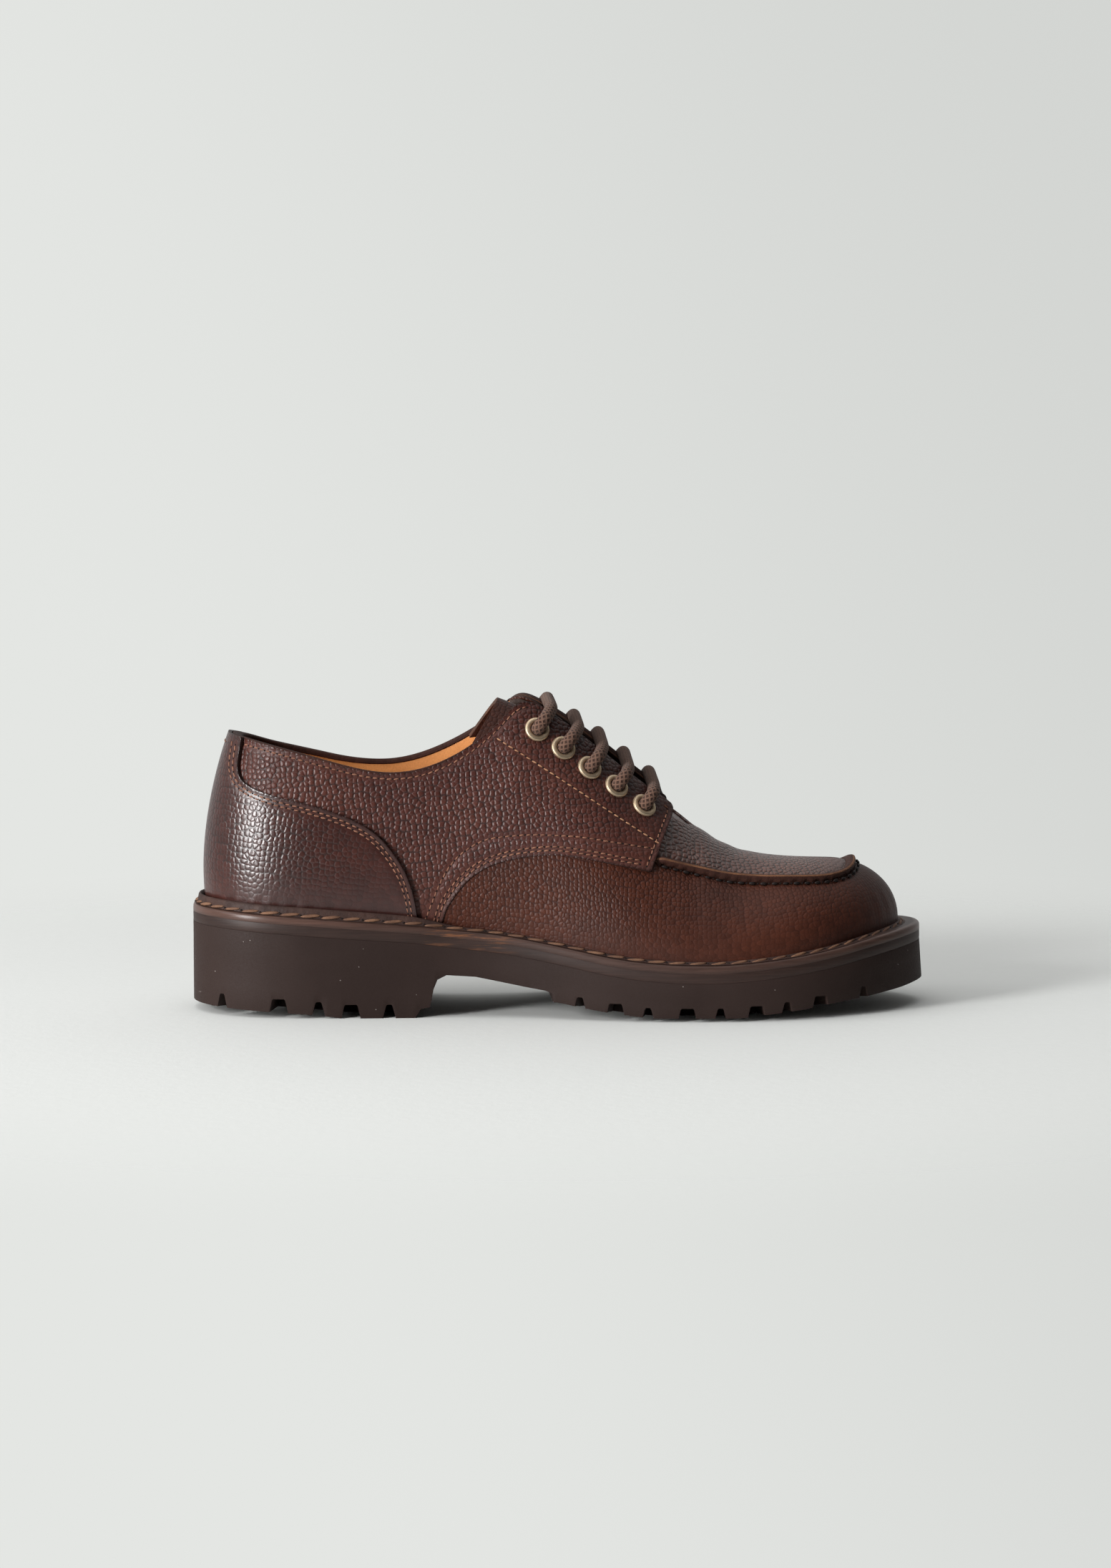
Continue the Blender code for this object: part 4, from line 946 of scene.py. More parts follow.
def quarterGrain(points):
    least = quarter["grainLeast"]
    low = smoothStep(*quarter["grainUp"], points[:, 2])
    nearFront = 1.0 - quarter["frontLess"] * smoothStep(*quarter["frontFade"], points[:, 0])
    return (least + (1 - least) * low) * nearFront


def makeFacingLining(grid, name):  # backing of a facing, whose cut edge shows along its top
    first = int(np.argmax(np.abs(grid[-1, :, 0]) > facings["fromRib"]))
    part = grid[:, first:]
    run = runOf(quarterPoint(part[::-1, 0, 0], part[::-1, 0, 1]))
    part = part[len(part) - int(np.argmax(run > facings["width"])):]
    points = quarterPoint(part[..., 0], np.clip(part[..., 1], 0.0, 1.0), facings["lift"])
    sheet = addPiece(name, points, gridFaces(*points.shape[:2]), [facingBack, backEdge])
    faceUp(sheet)
    thicken(sheet, facings["thickness"], rim=1)
    drill(sheet, pins)
    settle(sheet)
    return finishPiece(sheet, "lining_leather")


def makeQuarter(side, name, node):
    columns, rowCount = quarter["columns"], quarter["rows"]
    footCount = round(columns * quarter["footShare"])
    arch = placeOn(quarterPoint, side, smoothLine(seams["quarterArch"], columns - footCount))
    footS = side * np.linspace(quarter["heelGap"], abs(arch[0, 0]), footCount, endpoint=False)
    foot = np.stack([footS, footT(footS, quarter["footRise"])], -1)
    bottom = np.concatenate([foot, arch])
    ribs = np.linspace(*quarter["frontRibs"], 400)
    frontRib = np.interp(quarter["frontX"], quarterPoint(side * ribs, 1.0)[:, 0], ribs)
    front = placeOn(quarterPoint, side, smoothLine(seams["quarterFront"], 40))
    right = smoothLine(np.concatenate([front, [(side * frontRib, 1.0)]]), rowCount)
    topRibs = np.concatenate([np.abs(footS), np.linspace(abs(arch[0, 0]), frontRib, columns - footCount)])
    top = np.stack([side * topRibs, np.ones(columns)], -1)
    left = np.stack([np.full(rowCount, footS[0]), np.linspace(foot[0, 1], 1.0, rowCount)], -1)
    grid = coonsPatch(bottom, top, left, right)
    makeFacingLining(grid, name + "Back")
    sheet = leatherSheet(name, grid, quarterPoint, rows[side][0], quarterLeather, quarterGrain)
    drill(sheet, pins)
    settle(sheet)
    return finishPiece(sheet, "grain_leather", node)


pins = makePins("eyeletPins", deep=4.0, high=3.0)
makeQuarter(-1, "quarterNear", "quarter_lateral")
makeQuarter(1, "quarterFar", "quarter_medial")
print("quarters made")

# Counter

counter = {
    "columns": 170, "rows": 60, "footRise": 1.4, "sideShare": 0.36,
    "grainUp": (38.0, 60.0), "grainLeast": 0.12, "frontFade": (40.0, 82.0), "frontGrain": 0.35,
    "pucker": 0.16, "puckers": 30.0, "puckerLean": 0.25, "puckerRise": (3.0, 9.0), "puckerFade": (70.0, 40.0),
    "heelMiddle": 40.0,  # x that the puckers run round
}


def heelPuckers(points):  # small folds where the counter is lasted, just above the welt
    rise = points[:, 2] - seatLine(points[:, 0])
    turn = np.arctan2(points[:, 1], counter["heelMiddle"] - points[:, 0])
    uneven = 1 + 0.6 * np.sin(turn * 17.0 + 1.3) * np.sin(turn * 5.0)
    folds = counter["pucker"] * uneven * np.sin(turn * counter["puckers"] + counter["puckerLean"] * rise)
    low = 1 - smoothStep(*counter["puckerRise"], rise)
    return folds * low * smoothStep(*counter["puckerFade"], points[:, 0])


def counterGrain(points):
    low = smoothStep(*counter["grainUp"], points[:, 2])
    back = 1.0 - smoothStep(*counter["frontFade"], points[:, 0])
    strength = (counter["frontGrain"] + (1 - counter["frontGrain"]) * back) * low
    return np.clip(counter["grainLeast"] + (1 - counter["grainLeast"]) * strength, 0.0, 1.0)


def makeCounter():
    columns, rowCount = counter["columns"], counter["rows"]
    sides = {}
    for side in (-1, 1):
        edge = placeOn(counterPoint, side, smoothLine(seams["counterEdge"], 140))
        edge[0, 1] = footT(edge[0, 0], counter["footRise"])
        edge[-1, 1] = 1.0
        split = round(len(edge) * counter["sideShare"])
        sides[side] = (edge[:split + 1], edge[split:])
    left = smoothLine(sides[-1][0], rowCount)
    right = smoothLine(sides[1][0], rowCount)
    tab = np.stack([np.linspace(sides[-1][1][-1, 0], sides[1][1][-1, 0], 9), np.ones(9)], -1)[1:-1]
    rim = np.concatenate([sides[-1][1], tab, sides[1][1][::-1]])
    run = runOf(counterPoint(rim[:, 0], rim[:, 1]))
    places = np.linspace(0, run[-1], columns)
    top = np.stack([np.interp(places, run, axis) for axis in rim.T], -1)
    footS = np.linspace(left[0, 0], right[0, 0], columns)
    bottom = np.stack([footS, footT(footS, counter["footRise"])], -1)
    grid = coonsPatch(bottom, top, left, right)
    lines = rows[-1][1] + rows[1][1]
    sheet = leatherSheet("counterLeatherPiece", grid, counterPoint, lines, counterLeather, counterGrain,
                         heelPuckers)
    settle(sheet)
    return finishPiece(sheet, "grain_leather", "counter")


makeCounter()
print("counter made")

# Apron line and the wall of the upper

apron = {
    # (along the shoe, half width on the little-toe side and on the big-toe side)
    "sides": (
        (171.5, 30.9, 30.1), (178.5, 30.0, 29.2), (185.0, 29.2, 28.4), (192.0, 28.3, 27.5), (206.0, 27.9, 26.7),
        (220.0, 28.0, 26.5),
    ),
    "frontX": 254.0, "power": 2.3, "roundSteps": 26, "steps": 300, "pitch": 4.3,
    # (across, up) off the wall, from the vamp's foot over the top to the plug, and the stitches' pull on it
    "profile": (
        (3.1, -0.5, 0.0), (2.60, 0.25, 0.6), (2.25, 0.9, 1.0), (2.05, 1.7, 0.7), (1.85, 2.45, 0.3),
        (1.60, 3.1, 0.1), (1.30, 3.5, 0.0), (0.85, 3.66, 0.0), (0.40, 3.60, 0.0), (-0.45, 3.25, 0.0),
        (-1.05, 2.5, 0.0), (-1.50, 1.4, 0.0), (-2.1, 0.3, 0.0), (-2.5, -0.5, 0.0),
    ),
    # (along the shoe, share of the profile's height)
    "tall": ((171.0, 1.0), (186.0, 1.0), (203.0, 1.2), (221.0, 1.08), (240.0, 0.98), (260.0, 1.0)),
    "pull": 0.6, "raw": (6, 8),  # the profile's points that bound the raw edge
    "low": 0.25, "lowAt": (173.5, 179.0),  # pressed down where it goes under the quarters
    "grain": 0.4, "pace": 0.9,
}


def apronPlaces():  # (s, t) along the apron seam, from the near side round the toe to the far side
    startX, roundX = apron["sides"][0][0], apron["sides"][-1][0]
    toeMiddle = float(along["mid"](np.array(float(last["toeRib"]))))
    shift = steadyCurve(((startX, 0.0), (apron["frontX"], toeMiddle)))
    halves = {}
    for side, column in ((-1, 1), (1, 2)):
        outline = [(row[0], row[column]) for row in apron["sides"]]
        for angle in np.linspace(0, math.pi / 2, apron["roundSteps"] + 1)[1:]:
            ahead = math.sin(angle) ** (2 / apron["power"]) * (apron["frontX"] - roundX)
            across = math.cos(angle) ** (2 / apron["power"]) * apron["sides"][-1][column]
            outline.append((roundX + ahead, across))
        goals = [(x, float(shift(x)) + side * half) for x, half in outline]
        halves[side] = placeOn(lastPoint, side, goals, planView)
    return halves


def apronLine(count):  # points of the seam and the direction out of the wall, evenly placed
    halves = apronPlaces()
    places = np.concatenate([halves[-1], halves[1][-2::-1]])
    points = smoothLine(lastPoint(places[:, 0], places[:, 1]), count)
    ups = surfaceNormal(lastPoint, places[:, 0], places[:, 1])
    run = runOf(lastPoint(places[:, 0], places[:, 1]))
    ups = np.stack([np.interp(np.linspace(0, run[-1], count), run, axis) for axis in ups.T], -1)
    return points, ups / np.linalg.norm(ups, axis=1, keepdims=True)


apronPoints, apronUps = apronLine(apron["steps"])
apronRun = runOf(apronPoints)
apronAcross = np.cross(np.gradient(apronPoints, axis=0), apronUps)
apronAcross /= np.linalg.norm(apronAcross, axis=1, keepdims=True)

wall = {
    "ribs": 560, "steps": 48, "thickness": 1.3, "tuck": 0.7, "tuckWidth": 2.6, "tuckWave": 0.35, "weld": 0.02,
    "plugBack": ((150.0, 30.0), (150.0, -32.0)), "plugAbove": 40.0,  # closes the plug's outline at the back
    # grain and darkening: the stretch along or up the shoe over which each one changes, and its shares
    "toe": (238.0, 268.0), "toeDark": 0.30, "seamDark": 0.5, "seamWidth": 2.4,
    "sideGrain": (0.66, 0.34), "sideFade": (176.0, 215.0), "sideUp": (22.0, 46.0), "sideLeast": 0.15,
    "toeLess": 0.75, "plugFade": (236.0, 250.0), "plugLess": 0.55,
    "flatSteps": 601, "flatT": 0.45,  # the ring that the flat cut is measured along
}


def onApron(points):  # 1 inside the apron seam, 0 outside, in plan
    outline = np.concatenate([apronPoints[:, :2], wall["plugBack"]])
    x, y = points[:, 0], points[:, 1]
    inside = np.zeros(len(points), bool)
    for (x0, y0), (x1, y1) in zip(outline, np.roll(outline, -1, axis=0)):
        if y0 == y1:
            continue
        crosses = ((y0 > y) != (y1 > y)) & (x < (x1 - x0) * (y - y0) / (y1 - y0) + x0)
        inside ^= crosses
    return (inside & (points[:, 2] > wall["plugAbove"])).astype(float)


creases = (  # soft troughs across the flex of the vamp and drafts at the toe: (from, to, depth, width)
    ((186.0, -36.5, 47.0), (194.5, -20.0, 64.0), 0.20, 3.0),
    ((193.5, -38.0, 45.0), (202.0, -24.0, 58.0), 0.16, 2.6),
    ((180.5, -40.0, 47.5), (186.0, -31.0, 60.0), 0.15, 2.8),
    ((200.0, -8.0, 63.5), (203.5, 12.0, 61.5), 0.24, 3.0),
    ((208.5, -12.0, 59.0), (211.0, 9.0, 58.5), 0.20, 2.8),
    ((186.0, 35.0, 48.0), (195.0, 20.0, 64.0), 0.18, 3.0),
    ((262.0, -21.5, 33.0), (259.0, -18.0, 44.0), 0.07, 1.6),
    ((266.5, -15.0, 34.0), (262.5, -12.0, 44.0), 0.08, 1.6),
    ((269.8, -8.0, 34.5), (265.5, -6.5, 44.5), 0.07, 1.6),
    ((271.5, 0.0, 35.0), (267.0, 0.5, 44.0), 0.07, 1.6),
)


def creaseDepth(points):
    depth = np.zeros(len(points))
    for begin, end, deep, width in creases:
        begin, whole = np.array(begin), np.array(end) - np.array(begin)
        share = (points - begin) @ whole / (whole @ whole)
        away = np.linalg.norm(points - begin - np.clip(share, 0, 1)[:, None] * whole, axis=1)
        ends = smoothStep(-0.25, 0.3, share) * (1 - smoothStep(0.7, 1.25, share))
        ridge = 0.4 * np.exp(-(((away - 2.1 * width) / width) ** 2))
        depth += deep * ends * (np.exp(-((away / width) ** 2)) - ridge)
    return depth


def makeUpper():
    grid = np.meshgrid(ribsRound(wall["ribs"]), np.linspace(0, 1, wall["steps"]), indexing="ij")
    s, t = (axis.ravel() for axis in grid)
    points = wallPoint(s, t)
    normals = surfaceNormal(lastPoint, s, t)
    away, number = nearestOn(apronPoints, points)
    phase = np.cos(2 * math.pi * apronRun[number] / apron["pitch"])
    inside = onApron(points)
    tuck = wall["tuck"] * np.exp(-((away / wall["tuckWidth"]) ** 2))
    tuck = tuck * (1 - wall["tuckWave"] * phase * (1 - inside))
    points = points - normals * (tuck + creaseDepth(points))[:, None]
    skin = addPiece("vampAndBack", points, gridFaces(wall["ribs"], wall["steps"], roundRows=True),
                    [vampLeather, cutEdge, plugLeatherPaintedSheen])
    for face in skin.data.polygons:
        if all(inside[v] > 0 for v in face.vertices):
            face.material_index = 2
    x, z = points[:, 0], points[:, 2]
    toe = smoothStep(*wall["toe"], x)
    back, front = wall["sideGrain"]
    side = (back - (back - front) * smoothStep(*wall["sideFade"], x)) * (1 - wall["toeLess"] * toe)
    side = wall["sideLeast"] + side * smoothStep(*wall["sideUp"], z)
    plug = 1.0 - wall["plugLess"] * smoothStep(*wall["plugFade"], x)
    dark = wall["seamDark"] * np.exp(-((away / wall["seamWidth"]) ** 2)) + wall["toeDark"] * toe
    setGrain(skin, np.where(inside > 0, plug, side), dark)
    layWallFlat(skin, s, t)
    weld(skin, wall["weld"])
    faceRound(skin, outwards=False)  # so that the leather grows out of the last
    thicken(skin, wall["thickness"], rim=1)
    drill(skin, pins)
    settle(skin)
    return finishPiece(skin, "grain_leather", "upper")


def layWallFlat(piece, s, t):  # flat cut of the wall: round the shoe, and up from the foot line
    whole = 2 * last["toeRib"]
    ribs = np.linspace(0, whole, wall["flatSteps"])
    run = runOf(lastPoint(np.where(ribs < last["toeRib"], -ribs, whole - ribs), wall["flatT"]))
    u = np.interp(loopOf(s) % whole, ribs, run)
    v = np.concatenate([runOf(rib) for rib in lastPoint(s, t).reshape(-1, wall["steps"], 3)])
    flat = np.stack([u, v], -1)
    mesh = piece.data
    corners = np.zeros(len(mesh.loops), int)
    mesh.loops.foreach_get("vertex_index", corners)
    uv = flat[corners].reshape(-1, 4, 2)
    across = uv[..., 0]
    wrapped = across.max(1) - across.min(1) > run[-1] / 2  # faces that close the ring at the heel
    across[wrapped] = np.where(across[wrapped] < run[-1] / 2, across[wrapped] + run[-1], across[wrapped])
    mesh.uv_layers.new(name="cut").data.foreach_set("uv", uv.ravel())


throat = {
    "ribs": (8.75, 10.02), "rows": 26, "columns": 25, "crown": 0.5, "crownWidth": 20.0, "lift": 0.16,
    "reach": (-0.08, 1.08),  # a little past the walls on both sides
    "grain": 1.0, "dark": 0.1,
}


def makeThroat():  # the plug runs on under the facings, across the throat
    ribs = np.linspace(*throat["ribs"], throat["rows"])
    near, far = lastPoint(-ribs, 1.0), lastPoint(ribs, 1.0)
    shares = np.linspace(*throat["reach"], throat["columns"])[None]
    points = near[:, None] + (far - near)[:, None] * shares[..., None]
    wide = np.linalg.norm(far - near, axis=1)[:, None] / throat["crownWidth"]
    points[..., 2] += throat["crown"] * 4 * shares * (1 - shares) * wide + throat["lift"]
    sheet = addPiece("throatPlug", points, gridFaces(*points.shape[:2]), [plugLeatherPaintedSheen, cutEdge])
    faceUp(sheet)
    layFlat(sheet)
    setGrain(sheet, throat["grain"], throat["dark"])
    thicken(sheet, wall["thickness"], rim=1)
    settle(sheet)
    return finishPiece(sheet, "grain_leather")


makeUpper()
makeThroat()
print("upper made")


def makeApronSeam():
    rings = []
    pull = 0.5 + 0.5 * np.cos(2 * math.pi * apronRun / apron["pitch"])
    for across, up, share in apron["profile"]:
        wide = across - apron["pull"] * share * pull
        rise = up * (apron["low"] + (1 - apron["low"]) * smoothStep(*apron["lowAt"], apronPoints[:, 0]))
        rise = rise * np.interp(apronPoints[:, 0], *zip(*apron["tall"]))
        rings.append(apronPoints + apronAcross * wide[:, None] + apronUps * rise[:, None])
    points = np.stack(rings, 1)
    width = points.shape[1]
    seam = addPiece("apronRidge", points, tubeFaces(*points.shape[:2]), [seamLeather, rawEdge])
    turnFaces(seam)
    first, final = apron["raw"]
    for face in seam.data.polygons:
        steps = sorted({v % width for v in face.vertices})
        if len(face.vertices) == 4 and first <= steps[0] and steps[-1] <= final:
            face.material_index = 1
    layStrip(seam, apronRun, width, apron["pace"])
    setGrain(seam, apron["grain"], 0.0)
    return finishPiece(seam, "grain_leather", "apron_seam")


makeApronSeam()
print("apron seam made")

# Lining and collar

lining = {"ribs": 260, "steps": 30, "span": (0.02, 0.995), "depth": 1.45, "thickness": 0.5, "paintedShadeFrom": 0.78}


def makeLining():
    s, t = np.meshgrid(ribsRound(lining["ribs"]), np.linspace(*lining["span"], lining["steps"]), indexing="ij")
    points = wallPoint(s, t, -lining["depth"])
    skin = addPiece("insideLining", points, gridFaces(lining["ribs"], lining["steps"], roundRows=True),
                    [liningLeather, facingBack])
    # the lining's top behind the facings takes the dark facing-back finish: painted shade where the tan lining
    # runs on
    shadedBehindFacings = ((np.abs(s) > facings["fromRib"]) & (t > lining["paintedShadeFrom"])).ravel()
    for face in skin.data.polygons:
        face.material_index = int(all(shadedBehindFacings[v] for v in face.vertices))
    faceRound(skin, outwards=True)
    thicken(skin, lining["thickness"])
    settle(skin)
    return finishPiece(skin, "lining_leather")


collar = {
    "ends": 6.35, "steps": 260, "turn": (0.4, 1.9), "proud": 0.35, "thickness": 0.5, "down": 0.35,
    "inside": 0.25, "grain": 0.3, "pace": 0.7,
}


def makeCollar():  # thin leather turned over the collar's edge
    s = np.linspace(-collar["ends"], collar["ends"], collar["steps"])
    outer = quarterPoint(s, 1.0, last["overlay"])
    inner = wallPoint(s, 1.0, -last["wall"])
    up = lastPoint(s, 1.0) - lastPoint(s, 0.97)
    up /= np.linalg.norm(up, axis=1, keepdims=True)
    rings = [outer - up * collar["down"]]
    for angle in np.linspace(0, math.pi, 9):
        share = (1 - math.cos(angle)) / 2
        rings.append(outer + (inner - outer) * share + up * math.sin(angle) * collar["proud"])
    for down in np.linspace(*collar["turn"], 4):
        t = 1.0 - down / np.linalg.norm(lastPoint(s, 1.0) - lastPoint(s, 0.9), axis=1) * 0.1
        rings.append(wallPoint(s, t, -last["wall"] - collar["inside"]))
    points = np.stack(rings, 1)
    strip = addPiece("collarTurn", points, gridFaces(*points.shape[:2]), [seamLeather, cutEdge])
    top = [face for face in strip.data.polygons if face.vertices[0] % len(rings) in (4, 5)]
    if sum(face.normal.z for face in top) < 0:
        strip.data.flip_normals()
    layStrip(strip, runOf(outer), len(rings), collar["pace"])
    setGrain(strip, collar["grain"], 0.0)
    thicken(strip, collar["thickness"], rim=1)
    settle(strip)
    return finishPiece(strip, "grain_leather")


makeLining()
makeCollar()
print("linings and collar made")

# Sole: welt, midsole, insole and the rubber unit

sole = {
    "steps": 480,
    "tread": (
        (-5, 3.6), (0, 3.5), (20, 2.8), (45, 1.4), (62, 0), (100, 0), (110, 0.5), (137, 5.2), (146, 3.7),
        (155, 2.2), (165, 0.9), (176, 0), (205, 0), (216, 1.0), (230, 2.4), (245, 4.6), (258, 6.3), (270, 8.0),
        (284, 10.0),
    ),
    "edgeLift": ((95, 0), (137, 1.4), (235, 1.4), (262, 0.8), (284, 0)),
    "flare": ((0, 0), (230, 0), (284, 1.0)),
    "across": (0.0, 0.06, 0.13, 0.2, 0.5, 0.8, 0.87, 0.94, 1.0),
    "arch": (
        (84.7, -2), (84.7, 0), (86.9, 3.4), (90.4, 4.2), (91.7, 11.0), (93.2, 14.6), (96.6, 16.3),
        (107.5, 15.7), (117, 13.9), (126, 12.2), (134, 10.9), (136.3, 9.9), (137, 7.5), (137, -2),
    ),
    "narrow": (4.9, 1.7), "wide": (7.2, 4.4),  # notches: (mouth, root)
    "lugDepth": 5.2, "notchLength": 17.0, "notchPast": 6.0, "under": 4.0,
    "wallRows": (0.28, 0.36, 0.68),
    "heelNotches": (13.2, 33.4, 48.2, 60.4, 74.9),
    "foreNotches": (146.5, 159.8, 172.0, 186.8, 199.4, 213.2, 225.0, 238.0, 254.4),
    "channels": ((22.0, 82.0), (143.0, 246.0)), "channelInset": 21.0, "channelWidth": 3.2, "channelDepth": 3.0,
    "crossGrooves": (31.7, 52.0, 72.0, 155.0, 178.0, 201.0, 223.0), "weltMiddle": 6.5,
    "sharp": 32, "round": 0.35, "weld": 0.01,
    # the welt's burnish and its painted sheen: (point of its profile, share) and (along the shoe, share)
    "wornAndSheenAcross": ((11, 0.2), (12, 0.7), (13, 1), (16, 1), (17, 0.5), (18, 0)), "bandFrom": 11,
    "wornAndSheenAlong": ((45.0, 1.0), (85.0, 0.45), (225.0, 0.45), (258.0, 0.9)),
}
treadLine, flareLine = steadyCurve(sole["tread"]), steadyCurve(sole["flare"])
soleS = ribsRound(sole["steps"])
soleReach = along["reach"](np.abs(soleS))


def edgeLoft(name, profile, finish, plate):  # (distance out, height off the welt's top) run round the shoe
    rings = []
    for distance, height in profile:
        plan = edgePoint(soleS, np.broadcast_to(distance, soleS.shape))
        rings.append(np.concatenate([plan, (seatLine(plan[:, 0]) + height)[:, None]], 1))
    points = np.stack(rings, 1)
    count, width = points.shape[:2]
    faces = gridFaces(count, width, roundRows=True, roundColumns=not plate)
    if plate:
        for i in range(count // 2):  # closed above and below by strips from side to side
            corners = (i, i + 1, count - i - 1, (count - i) % count)
            faces += [[corner * width + level for corner in corners] for level in (0, width - 1)]
        faces = [list(dict.fromkeys(face)) for face in faces]
        faces = [face for face in faces if len(face) > 2]
    piece = addPiece(name, points, faces, [finish], sharp=50)
    turnFaces(piece)
    return piece


def stormLip():  # the lip's inner foot, its height and the foot of its leaning top, round the shoe
    rib = np.abs(soleS)
    lipIn = last["footGap"] + last["clearance"] + along["layers"](rib)
    lip = along["lip"](rib)
    return lipIn, lip, lipIn + lip * 0.25


def makeWelt():
    lipIn, lip, lean = stormLip()
    thick = last["welt"]
    profile = (
        (last["footGap"], -thick), (last["footGap"], -0.1), (lipIn, 0.0), (lipIn + lip * 0.1, lip * 0.5),
        (lean, lip * 0.94), (lean + 0.35, lip), (lean + 0.8, lip * 0.97), (lean + 1.15, lip * 0.8),
        (lean + 1.3, lip * 0.5), (lipIn + 2.5, 0.1), (lipIn + 3.2, -0.15),
        ((lipIn + 3.2 + soleReach) / 2, 0.05), (soleReach - 1.5, -0.05), (soleReach - 0.75, -0.22),
        (soleReach - 0.25, -0.65),
        (soleReach - 0.04, -1.25), (soleReach, -2.0), (soleReach, -3.1), (soleReach - 0.04, -thick),
    )
    piece = edgeLoft("stormWelt", profile, weltLeather, plate=False)
    across = np.interp(np.arange(len(profile)), *zip(*sole["wornAndSheenAcross"]))
    lengthways = np.interp(edgePoint(soleS, soleReach)[:, 0], *zip(*sole["wornAndSheenAlong"]))
    setAttribute(piece, "wornAndSheen", np.outer(lengthways, across).ravel())
    piece.data.materials.append(lipLeather)
    for face in piece.data.polygons:
        if max(v % len(profile) for v in face.vertices) < sole["bandFrom"]:
            face.material_index = 1
    return finishPiece(piece, "welt_leather", "welt")


def makeMidsole():
    top = -last["welt"] - 0.02
    thick = last["midsole"] + 2 * last["clearance"] - 0.06
    edge = soleReach - 0.03
    profile = (
        (edge - 9.0, top), (edge - 0.04, top), (edge, top - 0.10), (edge + 0.03, top - thick * 0.5),
        (edge, top - thick + 0.2), (edge - 0.10, top - thick), (edge - 9.0, top - thick),
    )
    piece = edgeLoft("midsoleLayer", profile, weltLeather, plate=True)
    return finishPiece(piece, "welt_leather", "midsole")


def makeInsole():
    top = -last["clearance"]
    thick = last["insole"]
    edge = np.full(len(soleS), -last["wall"] - 0.6)
    profile = (
        (edge - 8.0, top + 0.2), (edge - 0.8, top), (edge, top - 0.7), (edge, top - thick),
        (edge - 8.0, top - thick),
    )
    piece = edgeLoft("insoleBoard", profile, liningLeather, plate=True)
    return finishPiece(piece, "lining_leather", "insole")


def ribAtX(side, x):  # signed rib whose end on the welt has a given x, and how far the sole reaches there
    ribs = np.linspace(0, last["toeRib"], 1501)
    ends = edgePoint(side * np.maximum(ribs, 1e-9), np.full(1501, sole["weltMiddle"]))[:, 0]
    rib = float(np.interp(x, ends, ribs))
    return side * rib, float(along["reach"](np.array(rib)))


def makeTreadCutters():  # arch, notches, channels and cross grooves, each as rings of equal length
    blocks = [[[(x, y, z) for x, z in sole["arch"]] for y in (-90.0, 90.0)]]
    under, deep, half = -sole["under"], sole["lugDepth"], sole["channelWidth"] / 2
    for notches in (sole["heelNotches"], sole["foreNotches"]):
        for number, x in enumerate(notches):
            mouth, root = (width / 2 for width in (sole["wide"] if number % 2 else sole["narrow"]))
            flank = ((mouth, under), (mouth, 0.0), (root + 0.35, deep - 0.5), (root - 0.1, deep))
            outline = flank + tuple((-w, h) for w, h in flank[::-1])
            for side in (-1, 1):
                s, reach = ribAtX(side, x)
                away = footLine(s)[1]
                sideways = np.array([-away[1], away[0]])
                rings = []
                for distance in (reach + sole["notchPast"], reach - sole["notchLength"]):
                    middle = edgePoint(s, distance)
                    rings.append([(*(middle + sideways * w), float(treadLine(x)) + h) for w, h in outline])
                blocks.append(rings)
    for begin, end in sole["channels"]:
        for side in (-1, 1):
            rings = []
            for x in np.linspace(begin, end, 25):
                s, reach = ribAtX(side, x)
                middle = reach - sole["channelInset"]
                near, far = edgePoint(s, middle - half), edgePoint(s, middle + half)
                top = float(treadLine(x)) + sole["channelDepth"]
                rings.append([(*near, under), (*far, under), (*far, top), (*near, top)])
            blocks.append(rings)
    for x in sole["crossGrooves"]:
        top = float(treadLine(x)) + sole["channelDepth"]
        rings = []
        for side in (-1, 1):
            s, reach = ribAtX(side, x)
            y = edgePoint(s, reach - sole["channelInset"])[1]
            rings.append([(x - half, y, under), (x + half, y, under), (x + half, y, top), (x - half, y, top)])
        blocks.append(rings)
    cutters = []
    for rings in blocks:
        cutter = addPiece("treadCutter", rings, tubeFaces(len(rings), len(rings[0])), [])
        turnFaces(cutter)
        cutters.append(cutter)
    return cutters


